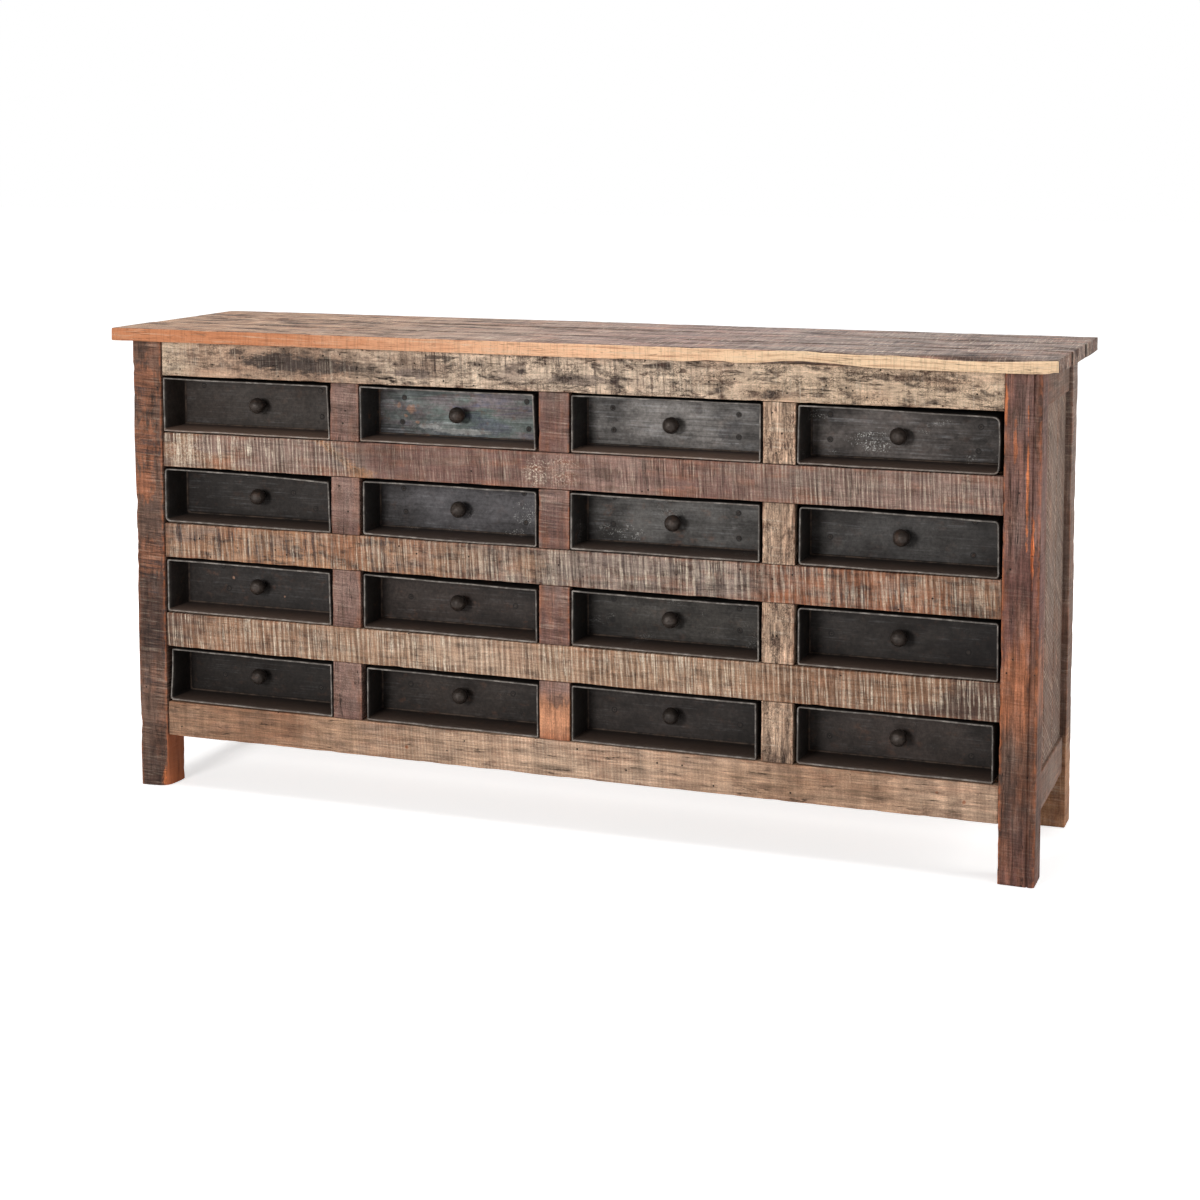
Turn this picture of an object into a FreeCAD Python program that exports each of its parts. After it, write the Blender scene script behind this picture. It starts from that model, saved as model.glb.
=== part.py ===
import FreeCAD, Part
import math
import os

# Sideboard of reclaimed boards with four rows of four drawers. Each drawer front is an open
# sheet-iron tray with a ball knob, fixed to a plain wooden box that slides on runners.
# Millimetres. X runs along the front, Y from front to back and Z up from the floor.
# The origin is on the floor, under the middle of the top.

# Overall size
top_length = 1800.0
top_depth = 450.0
total_height = 900.0

# Top boards, which end unevenly: how far each stops short on the left and on the right
top_thickness = 25.0
plank_gap = 0.6
plank_end_trims = [(0.0, 3.0), (4.0, 1.5), (2.0, 0.0)]
left_overhang = 26.0
right_overhang = 32.0
front_overhang = 31.0
back_overhang = 12.0
batten_width = 60.0
batten_thickness = 25.0

# Legs
left_leg_width = 62.0
right_leg_width = 64.0
leg_depth = 62.0
foot_chamfer = 4.0
quirk_from_inner_edge = 49.0
quirk_width = 3.0
quirk_depth = 3.5
bead_radius = 5.0

# Front and back frames
foot_clearance = 103.0
drawer_rows = 4
drawer_columns = 4
rail_height = 68.0
rail_thickness = 24.0
rail_setback = 5.0
mullion_width = 60.0
back_rail_thickness = 22.0
back_board_thickness = 10.0
back_board_setback = 6.0
back_board_count = 12

# Side frames
side_rail_thickness = 22.0
side_rail_setback = 8.0
side_board_thickness = 12.0
side_board_count = 3
panel_groove_depth = 8.0

# Mortise and tenon joints
tenon_length = 25.0
tenon_thickness = 10.0
tenon_shoulder = 9.0
joint_clearance = 0.2

# Web frames that carry the drawers
runner_thickness = 18.0
runner_bearing = 12.0
guide_height = 12.0
guide_clearance = 1.5

# Drawer trays
tray_side_gap = 4.5
tray_bottom_gap = 3.0
tray_top_gap = 7.0
tray_inset = 1.0
tray_depth = 70.0
tray_draft = 2.0
sheet = 2.5

# Drawer boxes
running_clearance = 0.3
closing_gap = 1.0
box_side_gap = 7.5
box_top_gap = 10.0
box_front_thickness = 16.0
box_side_thickness = 12.0
box_back_thickness = 12.0
box_back_drop = 4.0
box_bottom_thickness = 6.0
box_bottom_lift = 8.0
box_groove_depth = 6.0
box_rebate_depth = 8.0

# Knobs
knob_diameter = 31.0
knob_sides = 10
knob_rings = 6
neck_diameter = 9.0
neck_length = 6.0
stud_diameter = 6.0
stud_clearance = 0.25
nut_across_flats = 10.0
nut_height = 5.0
stud_overrun = 3.0

# Planes worked out from the sizes above
leg_top = total_height - top_thickness
top_left = -top_length / 2
top_right = top_length / 2
top_front = -top_depth / 2
top_back = top_depth / 2
left_outer = top_left + left_overhang
right_outer = top_right - right_overhang
left_inner = left_outer + left_leg_width
right_inner = right_outer - right_leg_width
front_leg_face = top_front + front_overhang
front_leg_back = front_leg_face + leg_depth
back_leg_back = top_back - back_overhang
back_leg_face = back_leg_back - leg_depth
front_rail_face = front_leg_face + rail_setback
front_rail_back = front_rail_face + rail_thickness
back_board_face = back_leg_back - back_board_setback - back_board_thickness
back_rail_face = back_board_face - back_rail_thickness

opening_width = (right_inner - left_inner - (drawer_columns - 1) * mullion_width) / drawer_columns
opening_height = (leg_top - foot_clearance - (drawer_rows + 1) * rail_height) / drawer_rows
column_pitch = opening_width + mullion_width
row_pitch = opening_height + rail_height
rail_bottoms = [foot_clearance + level * row_pitch for level in range(drawer_rows + 1)]
opening_bottoms = [bottom + rail_height for bottom in rail_bottoms[:-1]]
mullion_lefts = [left_inner + opening_width + i * column_pitch for i in range(drawer_columns - 1)]


def block(x0, x1, y0, y1, z0, z1):
    return Part.makeBox(x1 - x0, y1 - y0, z1 - z0, FreeCAD.Vector(x0, y0, z0))


def save(name, *solids):
    shape = solids[0] if len(solids) == 1 else Part.makeCompound(list(solids))
    shape.exportStep("parts/" + name + ".step")


def tenon_planes(face, thickness):
    """The two planes of a tenon in the middle of a rail's thickness."""
    middle = face + thickness / 2
    return middle - tenon_thickness / 2, middle + tenon_thickness / 2


def cross_tenons(face, thickness, bottom, room=0.0):
    """The tenons at the two ends of a rail along X, or with room round them, their mortises."""
    y0, y1 = tenon_planes(face, thickness)
    z0 = bottom + tenon_shoulder - room
    z1 = bottom + rail_height - tenon_shoulder + room
    reach = tenon_length + room
    left = block(left_inner - reach, left_inner, y0 - room, y1 + room, z0, z1)
    right = block(right_inner, right_inner + reach, y0 - room, y1 + room, z0, z1)
    return [left, right]


def depth_tenons(face, thickness, bottom, room=0.0):
    """The tenons at the two ends of a side rail along Y, or with room round them, their mortises."""
    x0, x1 = tenon_planes(face, thickness)
    z0 = bottom + tenon_shoulder - room
    z1 = bottom + rail_height - tenon_shoulder + room
    reach = tenon_length + room
    front = block(x0 - room, x1 + room, front_leg_back - reach, front_leg_back, z0, z1)
    back = block(x0 - room, x1 + room, back_leg_face, back_leg_face + reach, z0, z1)
    return [front, back]


def cross_rail(face, thickness, bottom):
    """A rail between the left and right legs, with a tenon at each end."""
    body = block(left_inner, right_inner, face, face + thickness, bottom, bottom + rail_height)
    return body.fuse(cross_tenons(face, thickness, bottom)).removeSplitter()


side_rail_levels = {"bottom": rail_bottoms[0], "top": rail_bottoms[-1]}
side_rail_faces = {
    "left": left_outer + side_rail_setback,
    "right": right_outer - side_rail_setback - side_rail_thickness,
}


def panel_planes(side, room=0.0):
    """The two faces of the boards that fill a side frame, in the middle of its rails."""
    middle = side_rail_faces[side] + side_rail_thickness / 2
    return middle - side_board_thickness / 2 - room, middle + side_board_thickness / 2 + room


def panel_space(side, room=0.0):
    """The space that a side panel takes with its edges housed, room larger for its grooves."""
    x0, x1 = panel_planes(side, room)
    housed = panel_groove_depth - joint_clearance + room
    y0, y1 = front_leg_back - housed, back_leg_face + housed
    z0 = side_rail_levels["bottom"] + rail_height - housed
    z1 = side_rail_levels["top"] + housed
    return block(x0, x1, y0, y1, z0, z1)


def side_rail(side, level):
    """A side rail with its tenons, grooved along one edge for the panel."""
    face, bottom = side_rail_faces[side], side_rail_levels[level]
    top = bottom + rail_height
    body = block(face, face + side_rail_thickness, front_leg_back, back_leg_face, bottom, top)
    rail = body.fuse(depth_tenons(face, side_rail_thickness, bottom))
    return rail.cut(panel_space(side, joint_clearance)).removeSplitter()


def side_boards(side):
    """Upright boards, edge to edge, that fill a side frame."""
    space = panel_space(side).BoundBox
    width = space.YLength / side_board_count
    fronts = [space.YMin + i * width for i in range(side_board_count)]
    return [block(space.XMin, space.XMax, y, y + width, space.ZMin, space.ZMax) for y in fronts]


def moulded_section():
    """The plan of the right front leg: a quirk along its face and an outer corner rounded to a bead."""
    quirk = right_inner + quirk_from_inner_edge
    turn = bead_radius * (1 - 0.5**0.5)
    plan = [
        (right_outer, front_leg_face + bead_radius),
        (right_outer, front_leg_back),
        (right_inner, front_leg_back),
        (right_inner, front_leg_face),
        (quirk, front_leg_face),
        (quirk + quirk_width / 2, front_leg_face + quirk_depth),
        (quirk + quirk_width, front_leg_face),
        (right_outer - bead_radius, front_leg_face),
    ]
    points = [FreeCAD.Vector(x, y, 0) for x, y in plan]
    middle = FreeCAD.Vector(right_outer - turn, front_leg_face + turn, 0)
    bead = Part.Arc(points[-1], middle, points[0])
    return Part.Face(Part.Wire(Part.makePolygon(points).Edges + [bead.toShape()]))


def leg(side, end):
    """A leg with a chamfered foot, its mortises and the groove for the side panel."""
    x0, x1 = (left_outer, left_inner) if side == "left" else (right_inner, right_outer)
    y0, y1 = (front_leg_face, front_leg_back) if end == "front" else (back_leg_face, back_leg_back)
    shape = block(x0, x1, y0, y1, 0, leg_top)
    foot = [edge for edge in shape.Edges if edge.BoundBox.ZMax < foot_chamfer]
    shape = shape.makeChamfer(foot_chamfer, foot)
    if (side, end) == ("right", "front"):
        shape = shape.common(moulded_section().extrude(FreeCAD.Vector(0, 0, leg_top)))
    if end == "front":
        face, thickness = front_rail_face, rail_thickness
    else:
        face, thickness = back_rail_face, back_rail_thickness
    housings = [panel_space(side, joint_clearance)]
    for bottom in rail_bottoms:
        housings += cross_tenons(face, thickness, bottom, joint_clearance)
    for bottom in side_rail_levels.values():
        housings += depth_tenons(side_rail_faces[side], side_rail_thickness, bottom, joint_clearance)
    return shape.cut(housings)


def mullions(bottom):
    """The short uprights between two front rails, one between each two drawers of a row."""
    y0, y1 = front_rail_face, front_rail_back
    top = bottom + opening_height
    return [block(x, x + mullion_width, y0, y1, bottom, top) for x in mullion_lefts]


def top_planks():
    """The boards of the top, front board first."""
    count = len(plank_end_trims)
    width = (top_depth - (count - 1) * plank_gap) / count
    planks = []
    for i, (left_trim, right_trim) in enumerate(plank_end_trims):
        x0, x1 = top_left + left_trim, top_right - right_trim
        y = top_front + i * (width + plank_gap)
        planks.append(block(x0, x1, y, y + width, leg_top, total_height))
    return planks


def battens():
    """Boards under the top, in line with the mullions, that hold the planks together."""
    middles = [x + mullion_width / 2 for x in mullion_lefts]
    y0, y1 = front_rail_back, back_rail_face
    z0 = leg_top - batten_thickness
    return [block(x - batten_width / 2, x + batten_width / 2, y0, y1, z0, leg_top) for x in middles]


def back_boards():
    """Upright boards nailed over the back rails."""
    width = (right_inner - left_inner) / back_board_count
    lefts = [left_inner + i * width for i in range(back_board_count)]
    y0, y1 = back_board_face, back_board_face + back_board_thickness
    return [block(x, x + width, y0, y1, foot_clearance, leg_top) for x in lefts]


def web_strips(reach, bottom, top, start=front_rail_back):
    """Five strips from front to back at one level, which pass the openings' edges by reach."""
    left_face = side_rail_faces["left"] + side_rail_thickness
    right_face = side_rail_faces["right"]
    side_start = max(start, front_leg_back)
    sides = [
        block(left_face, left_inner + reach, side_start, back_leg_face, bottom, top),
        block(right_inner - reach, right_face, side_start, back_leg_face, bottom, top),
    ]
    middles = [
        block(x - reach, x + mullion_width + reach, start, back_rail_face, bottom, top)
        for x in mullion_lefts
    ]
    return sides[:1] + middles + sides[1:]


def runners():
    """Strips level with the rails' tops, on which the drawers slide."""
    reach = box_side_gap + runner_bearing
    return [strip for z in opening_bottoms for strip in web_strips(reach, z - runner_thickness, z)]


def guides():
    """Strips on the runners, behind the trays, that keep the drawers straight."""
    reach = box_side_gap - guide_clearance
    start = front_rail_face + tray_back + guide_clearance
    return [strip for z in opening_bottoms for strip in web_strips(reach, z, z + guide_height, start)]


def kickers():
    """Strips over the drawers' sides, which keep a pulled drawer from tipping."""
    reach = box_side_gap + runner_bearing
    ceilings = [z + opening_height for z in opening_bottoms]
    return [strip for z in ceilings for strip in web_strips(reach, z, z + runner_thickness)]


# A drawer is made about its own origin: the middle of the opening's lower edge, in the plane
# of the front rails. Its walls, box and knob are then copied to every opening.
tray_back = tray_inset + tray_depth
box_half_width = opening_width / 2 - box_side_gap
box_top = opening_height - box_top_gap
box_front_back = tray_back + box_front_thickness
box_end = back_rail_face - front_rail_face - closing_gap
box_floor_bottom = running_clearance + box_bottom_lift
box_floor = box_floor_bottom + box_bottom_thickness
knob_height = (tray_bottom_gap + opening_height - tray_top_gap) / 2


def tray_outline(depth, inset):
    """The four corners of the tray at a depth behind its rim, inset from its outer face."""
    shrink = tray_draft * depth / tray_depth + inset
    half = opening_width / 2 - tray_side_gap - shrink
    low = tray_bottom_gap + shrink
    high = opening_height - tray_top_gap - shrink
    corners = ((-half, low), (half, low), (half, high), (-half, high))
    return [FreeCAD.Vector(x, tray_inset + depth, z) for x, z in corners]


def closed_solid(outlines):
    """A solid from the corners of its flat faces."""
    faces = [Part.Face(Part.makePolygon(outline + outline[:1])) for outline in outlines]
    solid = Part.makeSolid(Part.makeShell(faces))
    if solid.Volume < 0:
        solid.reverse()
    return solid


def prismatoid(front, back):
    """A solid between two four-cornered faces."""
    outlines = [front, back]
    for i in range(4):
        j = (i + 1) % 4
        outlines.append([front[i], front[j], back[j], back[i]])
    return closed_solid(outlines)


def tray_plates():
    """The four flared walls of the tray, mitred at its corners, and the plate at its back."""
    back_depth = tray_depth - sheet
    outer_rim, inner_rim = tray_outline(0, 0), tray_outline(0, sheet)
    outer_end, inner_end = tray_outline(back_depth, 0), tray_outline(back_depth, sheet)
    plates = []
    for i in range(4):
        j = (i + 1) % 4
        rim = [outer_rim[i], outer_rim[j], inner_rim[j], inner_rim[i]]
        end = [outer_end[i], outer_end[j], inner_end[j], inner_end[i]]
        plates.append(prismatoid(rim, end))
    back = prismatoid(outer_end, tray_outline(tray_depth, 0))
    return plates + [back.cut(stud_hole())]


def faceted_turning(profile, sides):
    """A hammered turning about the knob's axis: flat facets between rings of (radius, depth)."""
    step = FreeCAD.Rotation(FreeCAD.Vector(0, 1, 0), 360 / sides)
    rings = []
    for radius, depth in profile:
        spoke = FreeCAD.Vector(radius, 0, 0)
        ring = []
        for _ in range(sides):
            ring.append(FreeCAD.Vector(spoke.x, depth, knob_height + spoke.z))
            spoke = step.multVec(spoke)
        rings.append(ring)
    outlines = [rings[0], rings[-1]]
    for front, back in zip(rings, rings[1:]):
        for i in range(sides):
            j = (i + 1) % sides
            outlines.append([front[i], front[j], back[j], back[i]])
    return closed_solid(outlines)


def stud_hole():
    """The hole on the knob's axis through the tray's back, the front board and the nut."""
    radius = stud_diameter / 2 + stud_clearance
    return faceted_turning([(radius, tray_inset), (radius, box_end)], knob_sides)


def knob():
    """A forged ball on a neck, in one with the stud that passes through tray and board."""
    plate_face = tray_back - sheet
    centre = plate_face - neck_length - knob_diameter / 2
    stud_end = box_front_back + nut_height + stud_overrun
    first_angle = math.pi / (2 * knob_rings)
    last_angle = math.pi - math.asin(neck_diameter / knob_diameter)
    profile = []
    for i in range(knob_rings + 1):
        angle = first_angle + (last_angle - first_angle) * i / knob_rings
        radius = knob_diameter / 2 * math.sin(angle)
        profile.append((radius, centre - knob_diameter / 2 * math.cos(angle)))
    profile.append((neck_diameter / 2, plate_face))
    profile.append((stud_diameter / 2, plate_face))
    profile.append((stud_diameter / 2, stud_end))
    return faceted_turning(profile, knob_sides)


def knob_nut():
    """The nut that draws the knob tight, seen only inside the drawer."""
    corner_radius = nut_across_flats / 3**0.5
    profile = [(corner_radius, box_front_back), (corner_radius, box_front_back + nut_height)]
    return faceted_turning(profile, 6).cut(stud_hole())


def drawer_box():
    """The wooden box: front board, two sides, back board and bottom panel."""
    w, t = box_half_width, box_side_thickness
    inner = w - t
    side_start = tray_back + box_front_thickness - box_rebate_depth
    z0, z1 = running_clearance, box_top
    housed = box_groove_depth - joint_clearance
    panel = block(
        -inner - housed, inner + housed, box_front_back - housed, box_end, box_floor_bottom, box_floor
    )
    groove = block(
        -inner - box_groove_depth,
        inner + box_groove_depth,
        box_front_back - box_groove_depth,
        box_end,
        box_floor_bottom - joint_clearance,
        box_floor + joint_clearance,
    )
    left = block(-w, -inner, side_start, box_end, z0, z1)
    right = block(inner, w, side_start, box_end, z0, z1)
    front = block(-w, w, tray_back, box_front_back, z0, z1).cut([left, right, groove, stud_hole()])
    back = block(
        -inner, inner, box_end - box_back_thickness, box_end, box_floor + joint_clearance, z1 - box_back_drop
    )
    return [front, left.cut(groove), right.cut(groove), back, panel]


def moved(solids, offset):
    return [solid.translated(offset) for solid in solids]


def save_drawers():
    """Every drawer as two nodes, rows from the top down and columns from the left."""
    box = drawer_box()
    tray = tray_plates() + [knob(), knob_nut()]
    for row in range(drawer_rows):
        bottom = opening_bottoms[drawer_rows - 1 - row]
        for column in range(drawer_columns):
            middle = left_inner + opening_width / 2 + column * column_pitch
            place = FreeCAD.Vector(middle, front_rail_face, bottom)
            name = "drawer_r%dc%d" % (row + 1, column + 1)
            save(name + "_box", *moved(box, place))
            save(name + "_tray", *moved(tray, place))


def save_frame():
    for name, plank in zip(("front", "middle", "back"), top_planks()):
        save("top_plank_" + name, plank)
    save("top_battens", *battens())
    for side in ("left", "right"):
        for end in ("front", "back"):
            save("leg_" + end + "_" + side, leg(side, end))
        for level in side_rail_levels:
            save("side_rail_" + level + "_" + side, side_rail(side, level))
        save("side_panel_" + side, *side_boards(side))
    for level, bottom in enumerate(rail_bottoms):
        save("front_rail_%d" % (level + 1), cross_rail(front_rail_face, rail_thickness, bottom))
    for level, bottom in enumerate(opening_bottoms):
        save("mullions_%d" % (level + 1), *mullions(bottom))
    save("back_rails", *[cross_rail(back_rail_face, back_rail_thickness, z) for z in rail_bottoms])
    save("back_boards", *back_boards())
    save("drawer_runners", *runners())
    save("drawer_guides", *guides())
    save("drawer_kickers", *kickers())


os.makedirs("parts", exist_ok=True)
save_frame()
save_drawers()
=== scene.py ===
import math

import bpy
import numpy as np
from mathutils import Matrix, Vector


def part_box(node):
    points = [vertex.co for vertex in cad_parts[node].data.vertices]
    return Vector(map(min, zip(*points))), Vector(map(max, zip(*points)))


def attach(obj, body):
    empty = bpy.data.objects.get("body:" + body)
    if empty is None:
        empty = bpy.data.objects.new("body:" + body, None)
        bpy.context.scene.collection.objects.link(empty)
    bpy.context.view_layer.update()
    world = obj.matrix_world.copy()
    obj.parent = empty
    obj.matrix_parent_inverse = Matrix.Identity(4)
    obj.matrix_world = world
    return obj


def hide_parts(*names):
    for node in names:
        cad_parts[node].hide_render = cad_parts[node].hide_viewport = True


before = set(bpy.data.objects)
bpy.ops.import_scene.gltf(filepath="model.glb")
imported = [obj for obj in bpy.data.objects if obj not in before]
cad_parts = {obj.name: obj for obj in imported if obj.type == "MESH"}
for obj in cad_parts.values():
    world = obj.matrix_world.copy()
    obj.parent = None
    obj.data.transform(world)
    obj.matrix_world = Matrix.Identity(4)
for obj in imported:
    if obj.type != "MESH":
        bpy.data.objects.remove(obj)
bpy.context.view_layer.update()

# Places read from the frame, in metres. X runs along the front, Y from front to back, Z up.
RAIL_NODES = ["front_rail_%d" % level for level in (1, 2, 3, 4, 5)]
MULLION_NODES = ["mullions_%d" % level for level in (1, 2, 3, 4)]
TENON = 0.025
MULLION_WIDTH = 0.060
rail_lo, rail_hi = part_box("front_rail_1")
left_inner, right_inner = rail_lo.x + TENON, rail_hi.x - TENON
rail_face = rail_lo.y
opening_width = (right_inner - left_inner - 3 * MULLION_WIDTH) / 4
opening_pitch = opening_width + MULLION_WIDTH

# Meshes

ARRIS = 0.0012
WEAR_REACH = 0.0045
EDGE_REACH = 0.0025


def wander(rng, s, wavelength, octaves=3):
    """Smooth random values between about -1 and 1 at the positions s."""
    total = np.zeros(len(s))
    for octave in range(octaves):
        t = (s - s.min()) / (wavelength / 2**octave)
        knots = rng.uniform(-1, 1, int(t.max()) + 3)
        i = t.astype(int)
        f = t - i
        f = f * f * (3 - 2 * f)
        total += (knots[i] * (1 - f) + knots[i + 1] * f) / 2**octave
    return total / 1.5


def graded(length, step):
    """Positions along a side between its two rounded arrises, closer together near them."""
    inner = length - 2 * ARRIS
    if inner < 0.016:
        return np.linspace(ARRIS, length - ARRIS, max(2, int(inner / 0.004) + 1))[1:-1]
    middle = np.linspace(0.005, inner - 0.005, max(1, int((inner - 0.01) / step)) + 1)
    inside = set(np.round([0.002, 0.005, *middle, inner - 0.002, inner - 0.005], 7))
    return np.array(sorted(inside)) + ARRIS


def rectangle(width, height, step):
    """Points round a board's section, their outward normals, and its four corners."""
    corners = [(0, 0), (width, 0), (width, height), (0, height)]
    points, normals = [], []
    for i, (x, y) in enumerate(corners):
        mid = (x + (ARRIS if x == 0 else -ARRIS), y + (ARRIS if y == 0 else -ARRIS))
        for k in range(4):
            angle = math.radians(180 + 90 * i + 30 * k)
            normals.append((math.cos(angle), math.sin(angle)))
            points.append((mid[0] + ARRIS * normals[-1][0], mid[1] + ARRIS * normals[-1][1]))
        way = np.sign(np.subtract(corners[(i + 1) % 4], corners[i]))
        for t in graded((width, height)[i % 2], step):
            points.append((x + way[0] * t, y + way[1] * t))
            normals.append((way[1], -way[0]))
    return np.array(points), np.array(normals), np.array(corners, float)


def moulded(width, height, quirk, quirk_depth, bead):
    """The section of the right front leg, in (x, y) from its inner front corner."""
    points, normals, corners = rectangle(width, height, 0.008)
    cut = np.flatnonzero((points[:, 1] < 0.006) & (points[:, 0] > quirk - 0.0035))
    first, last = cut[0], cut[-1] + 1
    # The quirk, as millimetres along the face and thirds of its depth, then the bead
    groove = [(-2, 0), (-0.6, 0.2), (0, 0.9), (0.8, 2.6), (1.5, 3.4), (2.2, 3), (3, 1.2), (3.6, 0.3),
              (4.8, 0)]
    face = [(quirk + t / 1000, depth * quirk_depth / 3.4) for t, depth in groove]
    face_normals = [(0, -1)] * len(face)
    for angle in np.radians([270, 288, 306, 324, 342, 360]):
        face_normals.append((math.cos(angle), math.sin(angle)))
        face.append((width - bead + bead * math.cos(angle), bead + bead * math.sin(angle)))
    return (np.concatenate((points[:first], face, points[last:])),
            np.concatenate((normals[:first], face_normals, normals[last:])), corners)


def skin(base, rings, count, way=1, caps=True):
    """Faces between rings of count corners, and over the first and the last; way -1 turns them round."""
    faces = []
    for r in range(rings - 1):
        for j in range(count):
            a, b = base + r * count + j, base + r * count + (j + 1) % count
            faces.append((a, b, b + count, a + count) if way > 0 else (a, a + count, b + count, b))
    if caps:
        first = list(range(base, base + count))
        faces += [first[::-way], [v + (rings - 1) * count for v in first][::way]]
    return faces


def new_piece(name, shape, material, nodes, body="carcass", smooth=True):
    """A piece from (corners, faces, attributes), which rides on a body and stands for CAD nodes."""
    verts, faces, attributes = shape
    mesh = bpy.data.meshes.new(name)
    mesh.from_pydata([tuple(v) for v in verts], [], faces)
    mesh.validate()
    for key, values in attributes.items():
        values = np.array(values, np.float32)
        kind, field = ("FLOAT", "value") if values.ndim == 1 else ("FLOAT_VECTOR", "vector")
        mesh.attributes.new(key, kind, "POINT").data.foreach_set(field, values.ravel())
    mesh.polygons.foreach_set("use_smooth", [smooth] * len(mesh.polygons))
    mesh.update()
    mesh.materials.append(material)
    obj = bpy.data.objects.new(name, mesh)
    bpy.context.scene.collection.objects.link(obj)
    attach(obj, body)
    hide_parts(*nodes)


class Boards:
    """Several boards gathered into one mesh."""

    def __init__(self):
        self.verts, self.faces = [], []
        self.attributes = {"grain": [], "place": [], "edge": [], "tone": []}

    def add(self, lo, hi, along, seed, section=None, step=0.007, chip=0.0012, waves=((0.0004, 0.15),) * 4,
            nicks=(), offset=None, ends=0.0006, mesh_step=0.009):
        """A board between two corners, its length along X, Y or Z.

        waves gives how far each side (-a, +a, -b, +b) wanders inward and over what length, and
        nicks lists (corner, where along, length, depth) of worn places on an arris."""
        rng = np.random.default_rng(seed)
        axes = {"X": [0, 1, 2], "Y": [1, 0, 2], "Z": [2, 0, 1]}[along]
        lo, hi = np.array(lo, float), np.array(hi, float)
        size = (hi - lo)[axes]
        length, sides = size[0], size[1:]
        points, normals, corners = section or rectangle(*sides, mesh_step)
        s = np.linspace(ARRIS, length - ARRIS, max(2, int(length / step)) + 1)
        s = np.concatenate(([0, ARRIS * 0.3], s, [length - ARRIS * 0.3, length]))
        inset = np.zeros(len(s))
        inset[[0, -1]] = ARRIS
        inset[[1, -2]] = ARRIS * 0.35
        rings, count = len(s), len(points)
        away = np.linalg.norm(points - corners[:, None], axis=2)
        shift = np.zeros((rings, count, 2))
        for c in range(4):
            worn = np.clip(wander(rng, s, 0.035, 4) - 0.15, 0, None) * chip * 1.6 + chip * 0.25
            for corner, where, span, depth in nicks:
                if corner == c:
                    ragged = 1 + 0.3 * wander(rng, s, span, 2)
                    worn += depth * np.exp(-np.abs((s - where) / span) ** 2.5) * ragged
            widened = worn[:, None] * 0.9 if len(nicks) else 0
            fall = worn[:, None] * np.exp(-away[c] / (WEAR_REACH + widened)) * 0.8
            shift += fall[:, :, None] * np.sign(sides / 2 - corners[c])
        for side, (amount, wavelength) in enumerate(waves):
            axis, far_side = divmod(side, 2)
            wave = (wander(rng, s, wavelength) * 0.5 + 0.5).clip(0, 1) * amount
            at = points[:, axis]
            fade = np.clip(1 - (sides[axis] - at if far_side else at) / (sides[axis] * 0.5), 0, 1)
            shift[:, :, axis] += np.outer(-wave if far_side else wave, fade)
        moved = np.clip(points + shift - normals * inset[:, None, None], 0, sides)
        skew = (wander(rng, points[:, 0] + 3.1 * points[:, 1], 0.05, 2) * 0.5 + 0.5) * ends
        sunk = s[:, None] + np.outer(s < ARRIS * 2, skew) - np.outer(s > length - ARRIS * 2, skew)
        coords = np.empty((rings, count, 3))
        coords[:, :, axes] = np.dstack((sunk, moved))
        faces = skin(len(self.verts), rings, count)
        self.faces += [face[::-1] for face in faces] if along == "Y" else faces
        self.verts += (coords.reshape(-1, 3) + lo).tolist()
        start = rng.uniform(0, 40, 3) if offset is None else offset
        grain = np.dstack((sunk, np.broadcast_to(points, (rings, count, 2)))).reshape(-1, 3)
        edge = np.tile(np.exp(-away / EDGE_REACH).max(axis=0), rings)
        tone = np.full(len(grain), rng.uniform())
        for key, values in zip(self.attributes, (grain + start, grain / size, edge, tone)):
            self.attributes[key] += values.tolist()
        return self

    def piece(self, name, nodes, material, slot, body="carcass"):
        new_piece(name, (self.verts, self.faces, self.attributes), material, nodes, body)


# Material nodes

class Value:
    """A number, vector or colour that a node gives, with arithmetic."""

    def __init__(self, tree, socket):
        self.tree, self.socket = tree, socket

    def __add__(self, other):
        return self.tree.calc("ADD", self, other)

    def __sub__(self, other):
        return self.tree.calc("SUBTRACT", self, other)

    def __rsub__(self, other):
        return self.tree.calc("SUBTRACT", other, self)

    def __mul__(self, other):
        return self.tree.calc("MULTIPLY", self, other)

    def __truediv__(self, other):
        return self.tree.calc("DIVIDE", self, other)

    def __abs__(self):
        return self.tree.calc("ABSOLUTE", self)


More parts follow.
